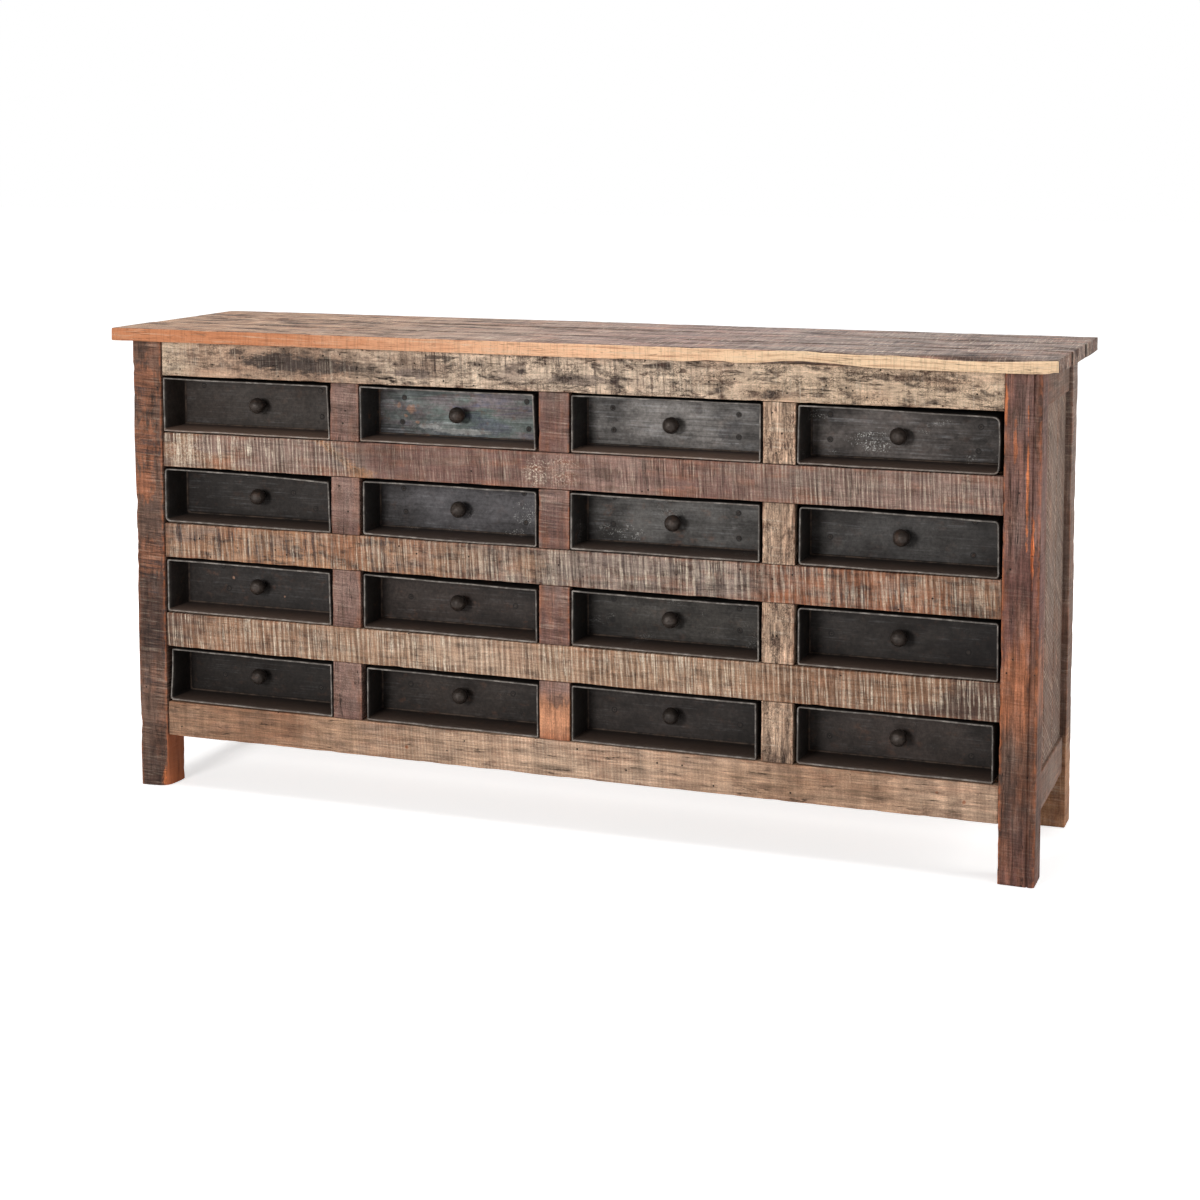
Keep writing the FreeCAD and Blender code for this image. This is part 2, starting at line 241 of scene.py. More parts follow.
class Tree:
    """The nodes of a material or a world: at is where its noises are read, colour what it has so far."""

    def __init__(self, name, kind="materials", output="OutputMaterial"):
        self.block = getattr(bpy.data, kind).new(name)
        self.block.use_nodes = True
        self.tree = self.block.node_tree
        self.tree.nodes.clear()
        self.output = self.node(output)
        self.at = self.colour = None

    def node(self, kind, settings=None, **inputs):
        node = self.tree.nodes.new("ShaderNode" + kind)
        for key, value in (settings or {}).items():
            setattr(node, key, value)
        for key, value in inputs.items():
            self.feed(node.inputs[key.replace("_", " ")], value)
        return node

    def feed(self, socket, value):
        if isinstance(value, Value):
            self.tree.links.new(value.socket, socket)
        elif isinstance(value, tuple) and socket.type == "RGBA":
            socket.default_value = (*value, 1)
        else:
            socket.default_value = value

    def take(self, node, output=0):
        return Value(self, node.outputs[output])

    def vector(self, name):
        return self.take(self.node("Attribute", {"attribute_name": name}), "Vector")

    def value(self, name):
        return self.take(self.node("Attribute", {"attribute_name": name}), "Fac")

    def scaled(self, vector, scale, shift=(0, 0, 0), turn=(0, 0, 0)):
        return self.take(self.node("Mapping", Vector=vector, Scale=scale, Location=shift, Rotation=turn))

    def layer(self, scale, shift=(0, 0, 0), detail=4, rough=0.6, bend=0.0, turn=(0, 0, 0), at=None):
        """A noise; scale is how many of its cells lie in a metre along each axis."""
        where = self.scaled(at or self.at, scale, shift, turn)
        return self.take(self.node("TexNoise", Vector=where, Scale=1.0, Detail=detail, Roughness=rough,
                                   Distortion=bend), "Fac")

    def band(self, value, low, high, out_low=0.0, out_high=1.0):
        """value between low and high becomes out_low to out_high, held outside."""
        return self.take(self.node("MapRange", Value=value, From_Min=low, From_Max=high, To_Min=out_low,
                                   To_Max=out_high))

    def calc(self, operation, *values):
        node = self.node("Math", {"operation": operation})
        for socket, value in zip(node.inputs, values):
            self.feed(socket, value)
        return self.take(node)

    def far(self, dx, dz):
        return self.calc("SQRT", dx * dx + dz * dz)

    def mix(self, a, b, factor):
        node = self.node("Mix", {"data_type": "RGBA"}, Factor=factor)
        self.feed(node.inputs[6], a)
        self.feed(node.inputs[7], b)
        return self.take(node, 2)

    def ramp(self, value, stops):
        node = self.node("ValToRGB", Fac=value)
        elements = node.color_ramp.elements
        while len(elements) < len(stops):
            elements.new(0.5)
        for element, (position, colour) in zip(elements, stops):
            element.position = position
            element.color = (*colour, 1)
        return self.take(node)

    def parts(self, vector):
        node = self.node("SeparateXYZ", Vector=vector)
        return [self.take(node, number) for number in range(3)]

    def paint(self, colour, factor, share=1):
        """Lays a colour over what is there, as far as the factor says, times share."""
        self.colour = self.mix(self.colour, colour, factor if share == 1 else factor * share)

    def gain(self, factor):
        node = self.node("VectorMath", {"operation": "SCALE"}, Vector=self.colour, Scale=factor)
        self.colour = self.take(node)

    def vary(self, noise, amount):
        """Makes the colour follow a noise, by amount up and down."""
        self.gain(self.band(noise, 0.34, 0.66, 1 - amount, 1 + amount))

    def surface(self, roughness, height, depth, **settings):
        bump = self.node("Bump", Height=height, Distance=depth, Strength=1.0)
        shader = self.node("BsdfPrincipled", Base_Color=self.colour, Roughness=roughness,
                           Normal=self.take(bump), **settings)
        self.feed(self.output.inputs["Surface"], self.take(shader))
        return self.block


def rgb(r, g, b):
    """A colour as it looks on a screen, turned to linear light."""
    return tuple(v / 255 / 12.92 if v <= 10 else ((v / 255 + 0.055) / 1.055) ** 2.4 for v in (r, g, b))


# Wood

CREAM = rgb(206, 182, 156)
LINEN = rgb(220, 195, 170)
BUFF = rgb(214, 186, 158)
SAND = rgb(184, 154, 130)
STRAW = rgb(180, 147, 123)
DRIFT = rgb(164, 138, 121)
TAN = rgb(158, 125, 100)
OCHRE = rgb(164, 121, 90)
BARK = rgb(140, 104, 80)
UMBER = rgb(100, 76, 64)
MAUVE = rgb(140, 111, 101)
PLUM = rgb(114, 84, 76)
MAHOGANY = rgb(106, 72, 64)
WALNUT = rgb(74, 54, 46)
RUST = rgb(152, 96, 68)
ORANGE = rgb(210, 122, 74)
BARE = rgb(196, 138, 104)
BARE_LEG = rgb(178, 104, 68)
GREY = rgb(134, 116, 106)
DOVE = rgb(128, 104, 94)
MOSS = rgb(114, 94, 82)
DUSK = rgb(68, 57, 52)
SLATE = rgb(66, 58, 58)
SOOT = rgb(34, 26, 22)
CHALK = rgb(226, 210, 188)
FRESH_LEFT = rgb(192, 126, 88)
FRESH_MIDDLE = rgb(236, 186, 148)
FRESH_RIGHT = rgb(240, 206, 168)


def wood(name, stops, streak=0.2, saw=0.3, kerf=0.0, pitch=0.0083, sway=3.0, bars=0.0, pale=0.0, grain=0.18,
         dirt=0.4, dirt_colour=UMBER, stain_size=1.0, redden=0.3, scribble=0.0, holes=0.3, cracks=0.4,
         wear=0.18, patches=(), slashes=(), flakes=(), fresh=None, roughness=0.8, glint=1.0, facing=2,
         slant=0.05, spread=0.0, seams=0.0, own_axes=None, seed=0):
    """Sawn, weathered timber; strengths are numbers, or lists of (place along the board, number).

    facing is the board's axis, 1 or 2, that lies across its seen face. own_axes names the axes
    along and across a CAD solid, whose grain then follows the object's own coordinates."""
    t = Tree(name)
    if own_axes:
        own = t.node("TexCoord")
        axis, share = t.parts(t.take(own, "Object")), t.parts(t.take(own, "Generated"))
        source = t.take(t.node("CombineXYZ", **{key: axis[number] for key, number in zip("XYZ", own_axes)}))
        place = [share[number] for number in own_axes]
    else:
        source, place = t.vector("grain"), t.parts(t.vector("place"))
    t.at = t.scaled(source, (1, 1, 1), (seed * 3.7, seed * 1.3, seed * 2.1))

    def amount(mask, spec):
        if isinstance(spec, list):
            spec = t.ramp(place[0], [(where, (number,) * 3) for where, number in spec])
        return mask * spec

    def spot(where, across, length, width, start, end, power):
        """A ragged spot on the face, gone and whole at start and end of its radii."""
        ragged = t.band(t.layer((50, 110, 110), (where * 9, 1, 3), 7, 0.68), 0.3, 0.7, -0.6, 0.6)
        far = t.far((place[0] - where) / length, (place[facing] - across) / width)
        return t.band(far + ragged, start, end, 0, power)

    # Body colour, redder and greyer in places
    drift = t.band(t.layer((6, 24, 24), (0, 0, 0), 4, 0.55), 0.25, 0.75, -0.07, 0.07)
    t.colour = t.ramp(place[0] + drift, stops)
    t.paint(RUST, amount(t.band(t.layer((9, 30, 30), (3, 5, 1), 5, 0.62), 0.5, 0.68), redden))
    t.paint(GREY, amount(t.band(t.layer((11, 26, 26), (8, 2, 6), 5, 0.62), 0.52, 0.7), redden))
    for foot, head, width, slash_colour in slashes:
        crinkle = t.band(t.layer((70, 160, 160), (foot * 9, 4, 3), 6, 0.7), 0.3, 0.7, -1, 1)
        far = abs(place[0] - (place[facing] * (head - foot) + foot))
        far = abs(crinkle * (width * 0.9) + far)
        t.paint(slash_colour, t.band(far, width, width * 0.5), 0.85)
        t.paint(SOOT, t.band(far, width * 0.25, width * 0.1), 0.8)
    for *where, patch_colour, power in patches:
        t.paint(patch_colour, spot(*where, 1.05, 0.7, power))
    if spread:
        t.gain(t.band(t.value("tone"), 0, 1, 1 - spread, 1 + spread))
    # Dirt settled in the surface, and along the joints of boards
    stain = t.layer((22 / stain_size, 60 / stain_size, 60 / stain_size), (3, 1, 2), 8, 0.66, 0.25)
    t.paint(dirt_colour, amount(t.band(stain, 0.5, 0.63), dirt))
    if seams:
        wobble = t.band(t.layer((26, 8, 8), (2, 5, 5), 5, 0.7), 0.3, 0.7, -0.07, 0.07)
        t.paint(SOOT, t.band(abs(place[facing] - 0.5) + wobble, 0.45, 0.5, 0, seams))
    # Marks of the saw, across the board
    lean = t.node("VectorMath")
    t.feed(lean.inputs[0], t.at)
    t.feed(lean.inputs[1], t.take(t.node("CombineXYZ", X=t.parts(t.at)[facing] * slant)))
    slanted = t.take(lean)

    def across(scale, shift, detail=3, rough=0.6):
        return t.layer(scale, shift, detail, rough, at=slanted)

    patchy = t.band(t.layer((12, 18, 18), (7, 7, 7), 3), 0.38, 0.6, 0.25, 1)
    t.vary(across((46, 5, 5), (1, 5, 2)), streak)
    lines = across((300, 15, 15), (4, 0, 0), 3, 0.75)
    t.paint(SOOT, amount(t.band(lines, 0.49, 0.39) * patchy, saw), 0.85)
    t.paint(CHALK, amount(t.band(lines, 0.54, 0.64) * patchy * glint, saw), 0.5)
    height = lines * 0.6
    if bars:
        ink = t.band(across((120, 6, 6), (11, 3, 5), 4, 0.7), 0.5, 0.6)
        ink = ink * t.band(t.layer((8, 22, 22), (1, 9, 4)), 0.38, 0.56, 0.1, 1)
        ink = ink * t.band(t.layer((300, 110, 110), (2, 2, 2), 3, 0.7), 0.36, 0.52, 0.3, 1)
        tone = t.mix(SLATE, WALNUT, t.band(t.layer((14, 30, 30), (3, 3, 9), 2), 0.4, 0.6))
        t.paint(tone, amount(ink, bars), 0.95)
        height = height - ink * 0.3
    if kerf:
        turns = t.parts(slanted)[0] * (2 * math.pi / pitch)
        ridge = t.calc("SINE", turns + t.band(across((40, 4, 4), (6, 6, 6)), 0.2, 0.8, -sway, sway))
        depth = t.band(across((110, 10, 10), (9, 9, 9), 4, 0.7), 0.38, 0.58, 0.1, 1)
        depth = depth * t.band(t.layer((170, 230, 230), (3, 3, 3), 3, 0.7), 0.34, 0.5, 0.4, 1)
        t.paint(SOOT, amount(t.band(ridge, -0.2, -0.9) * depth, kerf), 0.45)
        t.paint(CHALK, amount(t.band(ridge, 0.5, 0.9) * depth, kerf), 0.5)
        height = height + ridge * 0.25
    if pale:
        chalk = t.band(across((250, 8, 8), (2, 17, 6), 4, 0.7), 0.53, 0.62)
        chalk = chalk * t.band(t.layer((9, 24, 24), (5, 2, 8)), 0.4, 0.58)
        chalk = chalk * t.band(t.layer((300, 150, 150), (1, 1, 1), 3, 0.7), 0.38, 0.52, 0.3, 1)
        t.paint(CHALK, amount(chalk, pale))
    # Grain along the board
    fibre = t.layer((13, 300, 300), (0, 0, 0), 4, 0.72, 0.15)
    t.vary(fibre, grain)
    t.vary(t.layer((7, 110, 110), (4, 6, 2), 5, 0.6, 0.5), grain * 0.8)
    height = height + fibre * 0.3
    if scribble:
        marks = t.band(t.layer((210, 300, 300), (0, 3, 0), 5, 0.72, 1.8), 0.52, 0.56)
        marks = marks * t.band(t.layer((18, 45, 45), (6, 6, 1), 6, 0.68), 0.42, 0.56)
        t.paint(SOOT, amount(marks, scribble), 0.75)
        cover = t.layer((26, 80, 80), (4, 8, 2), 8, 0.72, 0.6)
        t.paint(WALNUT, amount(t.band(cover, 0.55, 0.62), scribble), 0.8)
        height = height - marks * 0.5
    t.vary(t.layer((330, 370, 370), (5, 5, 5), 2, 0.8), 0.2)
    # Splits along the grain
    gap = t.band(abs(t.layer((4, 75, 75), (9, 4, 1), 4, 0.55, 0.5) - 0.5), 0.010, 0.003)
    gap = amount(gap * t.band(t.layer((13, 30, 30), (8, 1, 9), 3), 0.5, 0.58), cracks)
    t.paint(SOOT, gap)
    # Worm holes
    cells = t.node("TexVoronoi", Vector=t.scaled(t.at, (85, 85, 85)), Scale=1.0)
    picked = t.calc("GREATER_THAN", t.parts(t.take(cells, "Color"))[0], 1 - holes * 0.2)
    hole = t.band(t.take(cells, "Distance"), 0.18, 0.12) * picked
    t.paint(SOOT, hole)
    height = height - gap - hole
    for *where, flake_colour, power in flakes:
        flake = t.band(t.layer((230, 260, 260), (where[0] * 7, 3, 9), 4, 0.75), 0.53, 0.57)
        t.paint(flake_colour, flake * spot(*where, 1.2, 0.3, power))
    # Rubbed arrises
    t.paint(ORANGE, t.value("edge") * t.band(t.layer((60, 130, 130), (1, 2, 3), 5, 0.66), 0.42, 0.56), wear)
    if fresh:
        fresh(t, place, fibre, lines)
    rough = t.band(stain, 0.35, 0.65, roughness - 0.08, roughness + 0.08)
    return t.surface(rough, height, 0.0008, Specular_IOR_Level=0.22)


rail_looks = {
    "front_rail_5": dict(
        stops=[(0, CREAM), (0.06, SAND), (0.22, SAND), (0.32, LINEN), (0.6, LINEN), (0.8, BUFF), (1, BUFF)],
        streak=0.15, dirt=[(0, 0.6), (0.3, 1), (0.6, 1), (1, 0.8)], dirt_colour=DUSK, saw=0.35,
        bars=[(0.25, 0.3), (0.33, 1), (0.6, 1), (0.7, 0.1)], pale=[(0, 0.5), (0.3, 0.3), (0.7, 0.6)],
        scribble=[(0, 1), (0.12, 0.5), (0.3, 0.5), (0.5, 1)], holes=0.8, cracks=1.0, grain=0.2, seed=5,
        patches=[(0.2, 0.5, 0.11, 0.42, UMBER, 0.45), (0.34, 0.5, 0.05, 0.35, UMBER, 0.4),
                 (0.155, 0.52, 0.05, 0.26, DUSK, 0.95), (0.205, 0.45, 0.045, 0.26, DUSK, 0.9),
                 (0.10, 0.78, 0.014, 0.10, DUSK, 0.85), (0.255, 0.4, 0.03, 0.12, DUSK, 0.7),
                 (0.33, 0.35, 0.03, 0.14, GREY, 0.8), (0.36, 0.82, 0.025, 0.06, DUSK, 0.8),
                 (0.53, 0.35, 0.04, 0.16, GREY, 0.7), (0.45, 0.45, 0.02, 0.3, GREY, 0.6),
                 (0.62, 0.8, 0.02, 0.07, DUSK, 0.8), (0.90, 0.75, 0.04, 0.10, UMBER, 0.7),
                 (0.76, 0.2, 0.03, 0.10, UMBER, 0.6)]),
    "front_rail_4": dict(
        stops=[(0, UMBER), (0.03, TAN), (0.08, DOVE), (0.24, DOVE), (0.3, PLUM), (0.45, PLUM), (0.55, MAUVE),
               (0.68, PLUM), (0.8, DOVE), (1, MAUVE)],
        streak=0.26, dirt=0.5, saw=[(0, 0.6), (0.3, 0.6), (0.75, 0.9)],
        kerf=[(0, 1), (0.22, 0.9), (0.27, 0.1), (0.7, 0.15), (0.78, 0.5), (1, 0.7)], redden=0.6, holes=0.2,
        seed=4,
        pale=[(0, 1), (0.18, 0.8), (0.26, 0.0), (0.42, 0.2), (0.5, 0.1), (1, 0.4)],
        flakes=[(0.478, 0.45, 0.014, 0.4, CHALK, 0.9), (0.51, 0.35, 0.018, 0.3, CHALK, 0.5),
                (0.51, 0.75, 0.02, 0.2, CHALK, 0.5), (0.03, 0.5, 0.03, 0.5, CHALK, 0.5)],
        slashes=[(0.267, 0.208, 0.009, OCHRE)],
        patches=[(0.262, 0.12, 0.02, 0.16, OCHRE, 0.6), (0.235, 0.6, 0.015, 0.3, SLATE, 0.5),
                 (0.56, 0.5, 0.02, 0.2, WALNUT, 0.6), (0.3, 0.7, 0.03, 0.3, WALNUT, 0.4)]),
    "front_rail_3": dict(
        stops=[(0, BARK), (0.2, OCHRE), (0.35, BARK), (0.5, GREY), (0.7, GREY), (0.8, RUST), (1, BARK)],
        streak=0.25, dirt=[(0, 1), (0.5, 0.9), (0.7, 0.8)], dirt_colour=WALNUT, saw=[(0, 0.6), (1, 0.8)],
        bars=1.0, kerf=[(0, 0.5), (1, 0.7)], pitch=0.0125, sway=4.0, pale=0.6, redden=0.6, holes=0.5, seed=3,
        patches=[(0.24, 0.5, 0.03, 0.5, RUST, 0.5), (0.47, 0.5, 0.02, 0.4, TAN, 0.6),
                 (0.97, 0.15, 0.03, 0.2, WALNUT, 0.7)]),
    "front_rail_2": dict(
        stops=[(0, UMBER), (0.04, BARK), (0.3, TAN), (0.4, SAND), (0.55, TAN), (0.7, TAN), (0.8, BARK),
               (0.93, BARK), (0.96, UMBER)],
        dirt=0.55, dirt_colour=WALNUT, saw=0.6, kerf=[(0, 0.7), (0.3, 0.9), (0.6, 1), (1, 0.8)], pitch=0.0105,
        bars=0.3, pale=0.8, holes=0.2, grain=0.2, seed=2,
        patches=[(0.96, 0.4, 0.03, 0.6, WALNUT, 0.7), (0.2, 0.6, 0.02, 0.3, UMBER, 0.5)]),
    "front_rail_1": dict(
        stops=[(0, TAN), (0.1, BARK), (0.2, TAN), (0.5, SAND), (0.6, SAND), (0.8, TAN), (1, SAND)], dirt=0.5,
        saw=0.12, kerf=[(0.2, 0.0), (0.3, 0.4), (0.6, 0.4), (0.7, 0)], pitch=0.007, grain=0.35, holes=0.25,
        cracks=0.8, seed=1,
        # The heads of three nails
        patches=[(0.316, 0.385, 0.0024, 0.055, RUST, 0.95), (0.964, 0.49, 0.0022, 0.05, RUST, 0.9),
                 (0.935, 0.67, 0.0020, 0.045, RUST, 0.8)]),
}
for number, node in enumerate(RAIL_NODES):
    lo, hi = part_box(node)
    boards = Boards().add((left_inner, lo.y, lo.z), (right_inner, hi.y, hi.z), "X", 100 + number, chip=0.0014,
                          offset=number, waves=[(0.0008, 0.3), (0.0004, 0.3), (0.0012, 0.25), (0.0018, 0.2)])
    boards.piece(node + "_board", [node], wood(node + "_wood", **rail_looks[node]), "sawn_frame")

mullion_looks = [
    dict(stops=[(0, PLUM), (0.5, MAUVE), (1, MAUVE)], saw=0.55, kerf=0.12, pitch=0.005, dirt=0.45, redden=0.5,
         cracks=1.0, scribble=0.15, glint=0.6),
    dict(stops=[(0, PLUM), (0.5, PLUM), (1, MAUVE)], saw=0.6, bars=0.5, holes=0.2, redden=0.6, wear=0.45,
         glint=0.7),
    dict(stops=[(0, SAND), (1, SAND)], saw=0.15, streak=0.1, grain=0.5, holes=1.0, cracks=1.0, dirt=0.8,
         dirt_colour=WALNUT, scribble=1.0, pale=0.4, redden=0.2),
]
mullion_woods = [wood("mullion_wood_%d" % (i + 1), seed=10 + i, facing=1, **look)
                 for i, look in enumerate(mullion_looks)]
bare = wood("bare_mullion_wood", stops=[(0, RUST), (0.25, BARE), (0.6, BARE), (0.85, MAUVE), (1, MAUVE)],
            grain=0.3, dirt=0.3, glint=0.5, patches=[(0.68, 0.6, 0.12, 0.35, SLATE, 0.6)], facing=1, seed=14)
for row, node in enumerate(MULLION_NODES):
    lo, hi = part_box(node)
    for column in range(3):
        x = left_inner + opening_width + column * opening_pitch
        boards = Boards().add((x, lo.y + 0.0006, lo.z), (x + MULLION_WIDTH, hi.y, hi.z), "Z",
                              200 + 10 * row + column,
                              waves=[(0.0014, 0.2), (0.0014, 0.2), (0.0006, 0.2), (0, 1)])
        look = bare if (row, column) == (0, 1) else mullion_woods[column]
        boards.piece("mullion_r%dc%d_board" % (4 - row, column + 1), [node], look, "sawn_frame")

# Legs


def inner_side(t, place, fibre, lines):
    """The left leg's inner side below the rail, rubbed back to orange wood."""
    rubbed = t.mix(BARE_LEG, SOOT, t.band(fibre, 0.5, 0.7, 0, 0.5))
    t.paint(rubbed, t.band(place[1], 0.975, 0.99) * t.band(place[0], 0.125, 0.115), 0.9)


leg_left = wood(
    "left_leg_wood",
    stops=[(0, WALNUT), (0.1, UMBER), (0.25, UMBER), (0.32, WALNUT), (0.5, WALNUT), (0.55, UMBER),
           (1, UMBER)],
    streak=0.3, saw=1.0, bars=0.9, dirt=0.6, dirt_colour=SOOT, wear=0.5, glint=0.3, facing=1,
    fresh=inner_side,
    patches=[(0.9, 0.4, 0.06, 0.5, RUST, 0.6), (0.77, 0.4, 0.06, 0.5, RUST, 0.8),
             (0.68, 0.35, 0.04, 0.4, RUST, 0.8), (0.52, 0.5, 0.05, 0.5, RUST, 0.5),
             (0.015, 0.97, 0.035, 0.16, ORANGE, 0.9)], seed=20)
leg_right = wood(
    "right_leg_wood",
    stops=[(0, MAHOGANY), (0.16, WALNUT), (0.28, UMBER), (0.36, RUST), (0.45, RUST), (0.5, MAHOGANY),
           (0.6, MAHOGANY), (0.72, PLUM), (1, PLUM)],
    streak=0.12, grain=0.5, dirt=0.6, dirt_colour=WALNUT, holes=0.5, cracks=1.0, redden=0.4, glint=0.4,
    wear=0.7, facing=1,
    patches=[(0.78, 0.64, 0.14, 0.035, ORANGE, 0.8), (0.66, 0.80, 0.07, 0.05, ORANGE, 0.8),
             (0.86, 0.30, 0.05, 0.05, ORANGE, 0.5), (0.93, 0.05, 0.05, 0.05, ORANGE, 0.7),
             (0.92, 0.9, 0.1, 0.12, WALNUT, 0.85), (0.35, 0.85, 0.2, 0.12, WALNUT, 0.6)], seed=21)
leg_back = wood("back_leg_wood", stops=[(0, OCHRE), (0.14, OCHRE), (0.2, UMBER), (1, GREY)], saw=0.4,
                grain=0.25, facing=1, seed=22)
legs = [("leg_front_left", leg_left, [(0.0022, 0.07), (0.0008, 0.2), (0.001, 0.2), (0.0004, 0.2)]),
        ("leg_front_right", leg_right, [(0.0008, 0.2), (0.0012, 0.2), (0.0006, 0.2), (0.0004, 0.2)]),
        ("leg_back_left", leg_back, [(0.0012, 0.2), (0.0008, 0.2), (0.001, 0.2), (0.0004, 0.2)]),
        ("leg_back_right", leg_back, [(0.0008, 0.2), (0.002, 0.2), (0.0006, 0.2), (0.009, 0.12)])]
QUIRK_PLACE, QUIRK_DEPTH, BEAD = 0.049, 0.0035, 0.005
for number, (node, look, waves) in enumerate(legs):
    lo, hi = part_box(node)
    section, nicks = None, ()
    if node == "leg_front_left":
        nicks = [(1, 0.0, 0.028, 0.013)]
    if node == "leg_front_right":
        section = moulded(hi.x - lo.x, hi.y - lo.y, QUIRK_PLACE, QUIRK_DEPTH, BEAD)
    boards = Boards().add(lo, hi, "Z", 301 + number, section, chip=0.0022, waves=waves, ends=0.001,
                          nicks=nicks)
    boards.piece(node + "_post", [node], look, "dark_leg")

# Side frames

side_look = dict(stops=[(0, UMBER), (0.2, UMBER), (0.6, MOSS), (1, MOSS)], grain=0.25, cracks=0.5,
                 spread=0.12)
side_wood = wood("side_wood", saw=0.7, slant=0.7, kerf=0.5, seed=30, **side_look)
side_rail_wood = wood("side_rail_wood", seed=31, **side_look)
for side in ("left", "right"):
    for level in ("bottom", "top"):
        node = "side_rail_%s_%s" % (level, side)
        lo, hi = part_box(node)
        boards = Boards().add((lo.x, lo.y + TENON, lo.z), (hi.x, hi.y - TENON, hi.z), "Y", 400 + len(node),
                              chip=0.0014)
        boards.piece(node + "_board", [node], side_rail_wood, "side_board")
    node = "side_panel_" + side
    lo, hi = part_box(node)
    width = (hi.y - lo.y) / 3
    boards = Boards()
    for i in range(3):
        boards.add((lo.x, lo.y + i * width, lo.z), (hi.x, lo.y + (i + 1) * width, hi.z), "Z", 420 + i,
                   chip=0.0016, waves=[(0.0006, 0.2), (0.0006, 0.2), (0.0008, 0.2), (0.0008, 0.2)])
    boards.piece(node + "_boards", [node], side_wood, "side_board")

# Top


def sawn_edge(t, place, fibre, lines):
    """The front edge of the top, cut lately: bright orange at the left, straw at the right."""
    weathered = t.colour
    wobble = t.band(t.layer((30, 60, 60), (5, 5, 5)), 0.3, 0.7, -0.05, 0.05)
    t.colour = t.ramp(place[0] + wobble, [(0.2, FRESH_LEFT), (0.52, FRESH_MIDDLE), (0.75, FRESH_RIGHT)])
    rings = t.layer((9, 140, 190), (7, 7, 7), 5, 0.7, 0.6, (0, 0.05, 0))
    t.paint(RUST, t.band(rings, 0.52, 0.64, 0, 0.6))
    t.paint(CREAM, t.band(rings, 0.46, 0.36, 0, 0.5))
    t.paint(SOOT, t.band(t.layer((70, 420, 420), (1, 7, 2), 3, 0.7), 0.58, 0.66, 0, 0.4))
    t.paint(SOOT, t.band(lines, 0.5, 0.38, 0, 0.18))
    t.colour = t.mix(weathered, t.colour, t.band(place[1], 0.009, 0.006))


top_look = dict(
    stops=[(0, STRAW), (0.15, STRAW), (0.4, DRIFT), (0.6, MAUVE), (0.75, GREY), (1, GREY)], grain=0.5,
    dirt=1.0, dirt_colour=WALNUT, stain_size=2.4, saw=0.25, streak=0.1, cracks=1.0, holes=0.4, redden=0.6,
    bars=[(0, 0.25), (0.6, 0.35), (0.75, 0.9), (1, 0.7)], pale=0.4, roughness=0.85, wear=0.1, facing=1,
    seams=0.8)
top_front = wood("top_front_wood", fresh=sawn_edge, seed=40, **top_look)
top_rest = wood("top_wood", seed=41, **top_look)
front_nicks = [(3, 1.665, 0.11, 0.011), (3, 1.45, 0.06, 0.003), (0, 1.37, 0.09, 0.007), (0, 1.2, 0.03, 0.003),
               (0, 1.795, 0.012, 0.005)]
for i, (where, look, nicks) in enumerate((("front", top_front, front_nicks), ("middle", top_rest, ()),
                                          ("back", top_rest, ()))):
    node = "top_plank_" + where
    boards = Boards().add(*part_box(node), "X", 500 + i, nicks=nicks, ends=0.0015,
                          waves=[(0.0012, 0.3), (0.0008, 0.3), (0.0004, 0.3), (0.0009, 0.25)])
    boards.piece(node + "_board", [node], look, "weathered_top")

# Back

back_wood = wood("back_wood", stops=[(0, UMBER), (0.5, TAN), (1, GREY)], grain=0.55, saw=0.04, streak=0.05,
                 kerf=0.1, pitch=0.014, cracks=0.9, dirt=0.6, facing=1, slant=0.25, spread=0.3, seams=0.7,
                 seed=50)
BACK_BOARD_COUNT = 12
lo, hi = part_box("back_boards")
width = (hi.x - lo.x) / BACK_BOARD_COUNT
boards = Boards()
for i in range(BACK_BOARD_COUNT):
    boards.add((lo.x + i * width, lo.y, lo.z), (lo.x + (i + 1) * width, hi.y, hi.z), "Z", 600 + i,
               chip=0.0014, step=0.012, waves=[(0.0008, 0.3), (0.0008, 0.3), (0.0004, 0.2), (0.0006, 0.2)])
boards.piece("back_boards_planks", ["back_boards"], back_wood, "side_board")

# Trays

KNOB_HEIGHT = 0.052
TRAY_DEPTH, SHEET, DRAFT, TRAY_BACK = 0.070, 0.0025, 0.002, 0.001
TRAY_HALF, TRAY_LOW, TRAY_HIGH = opening_width / 2 - 0.0045, 0.003, 0.101
PLATE = TRAY_BACK + TRAY_DEPTH - SHEET
ACROSS, UP = 34, 14
AROUND = 2 * (ACROSS + UP)


def blend(values, u, v):
    """Between the values at four corners, from the lower left round."""
    return (values[0] * (1 - u) + values[1] * u) * (1 - v) + (values[3] * (1 - u) + values[2] * u) * v


def tray_ring(half, low, high, radius):
    """Points (x, z) round a tray at one depth, from the lower left corner, with rounded corners."""
    points = []
    for i, (x, z) in enumerate([(-half, low), (half, low), (half, high), (-half, high)]):
        count, length = ((ACROSS, 2 * half), (UP, high - low))[i % 2]
        way_x, way_z = ((1, 0), (0, 1), (-1, 0), (0, -1))[i]
        r0, r1 = radius[i], radius[(i + 1) % 4]
        for j in range(count):
            t, d = r0 + (length - r0 - r1) * (j - 3) / (count - 6 + 0.0001), 0
            if j < 3 or j > count - 3:
                angle = math.radians(45 + 15 * min(j, count - j))
                r = r0 if j < 3 else r1
                t, d = r * (1 - math.cos(angle)), r * (1 - math.sin(angle))
                t = t if j < 3 else length - t
            points.append((x + way_x * t - way_z * d, z + way_z * t + way_x * d))
    return points


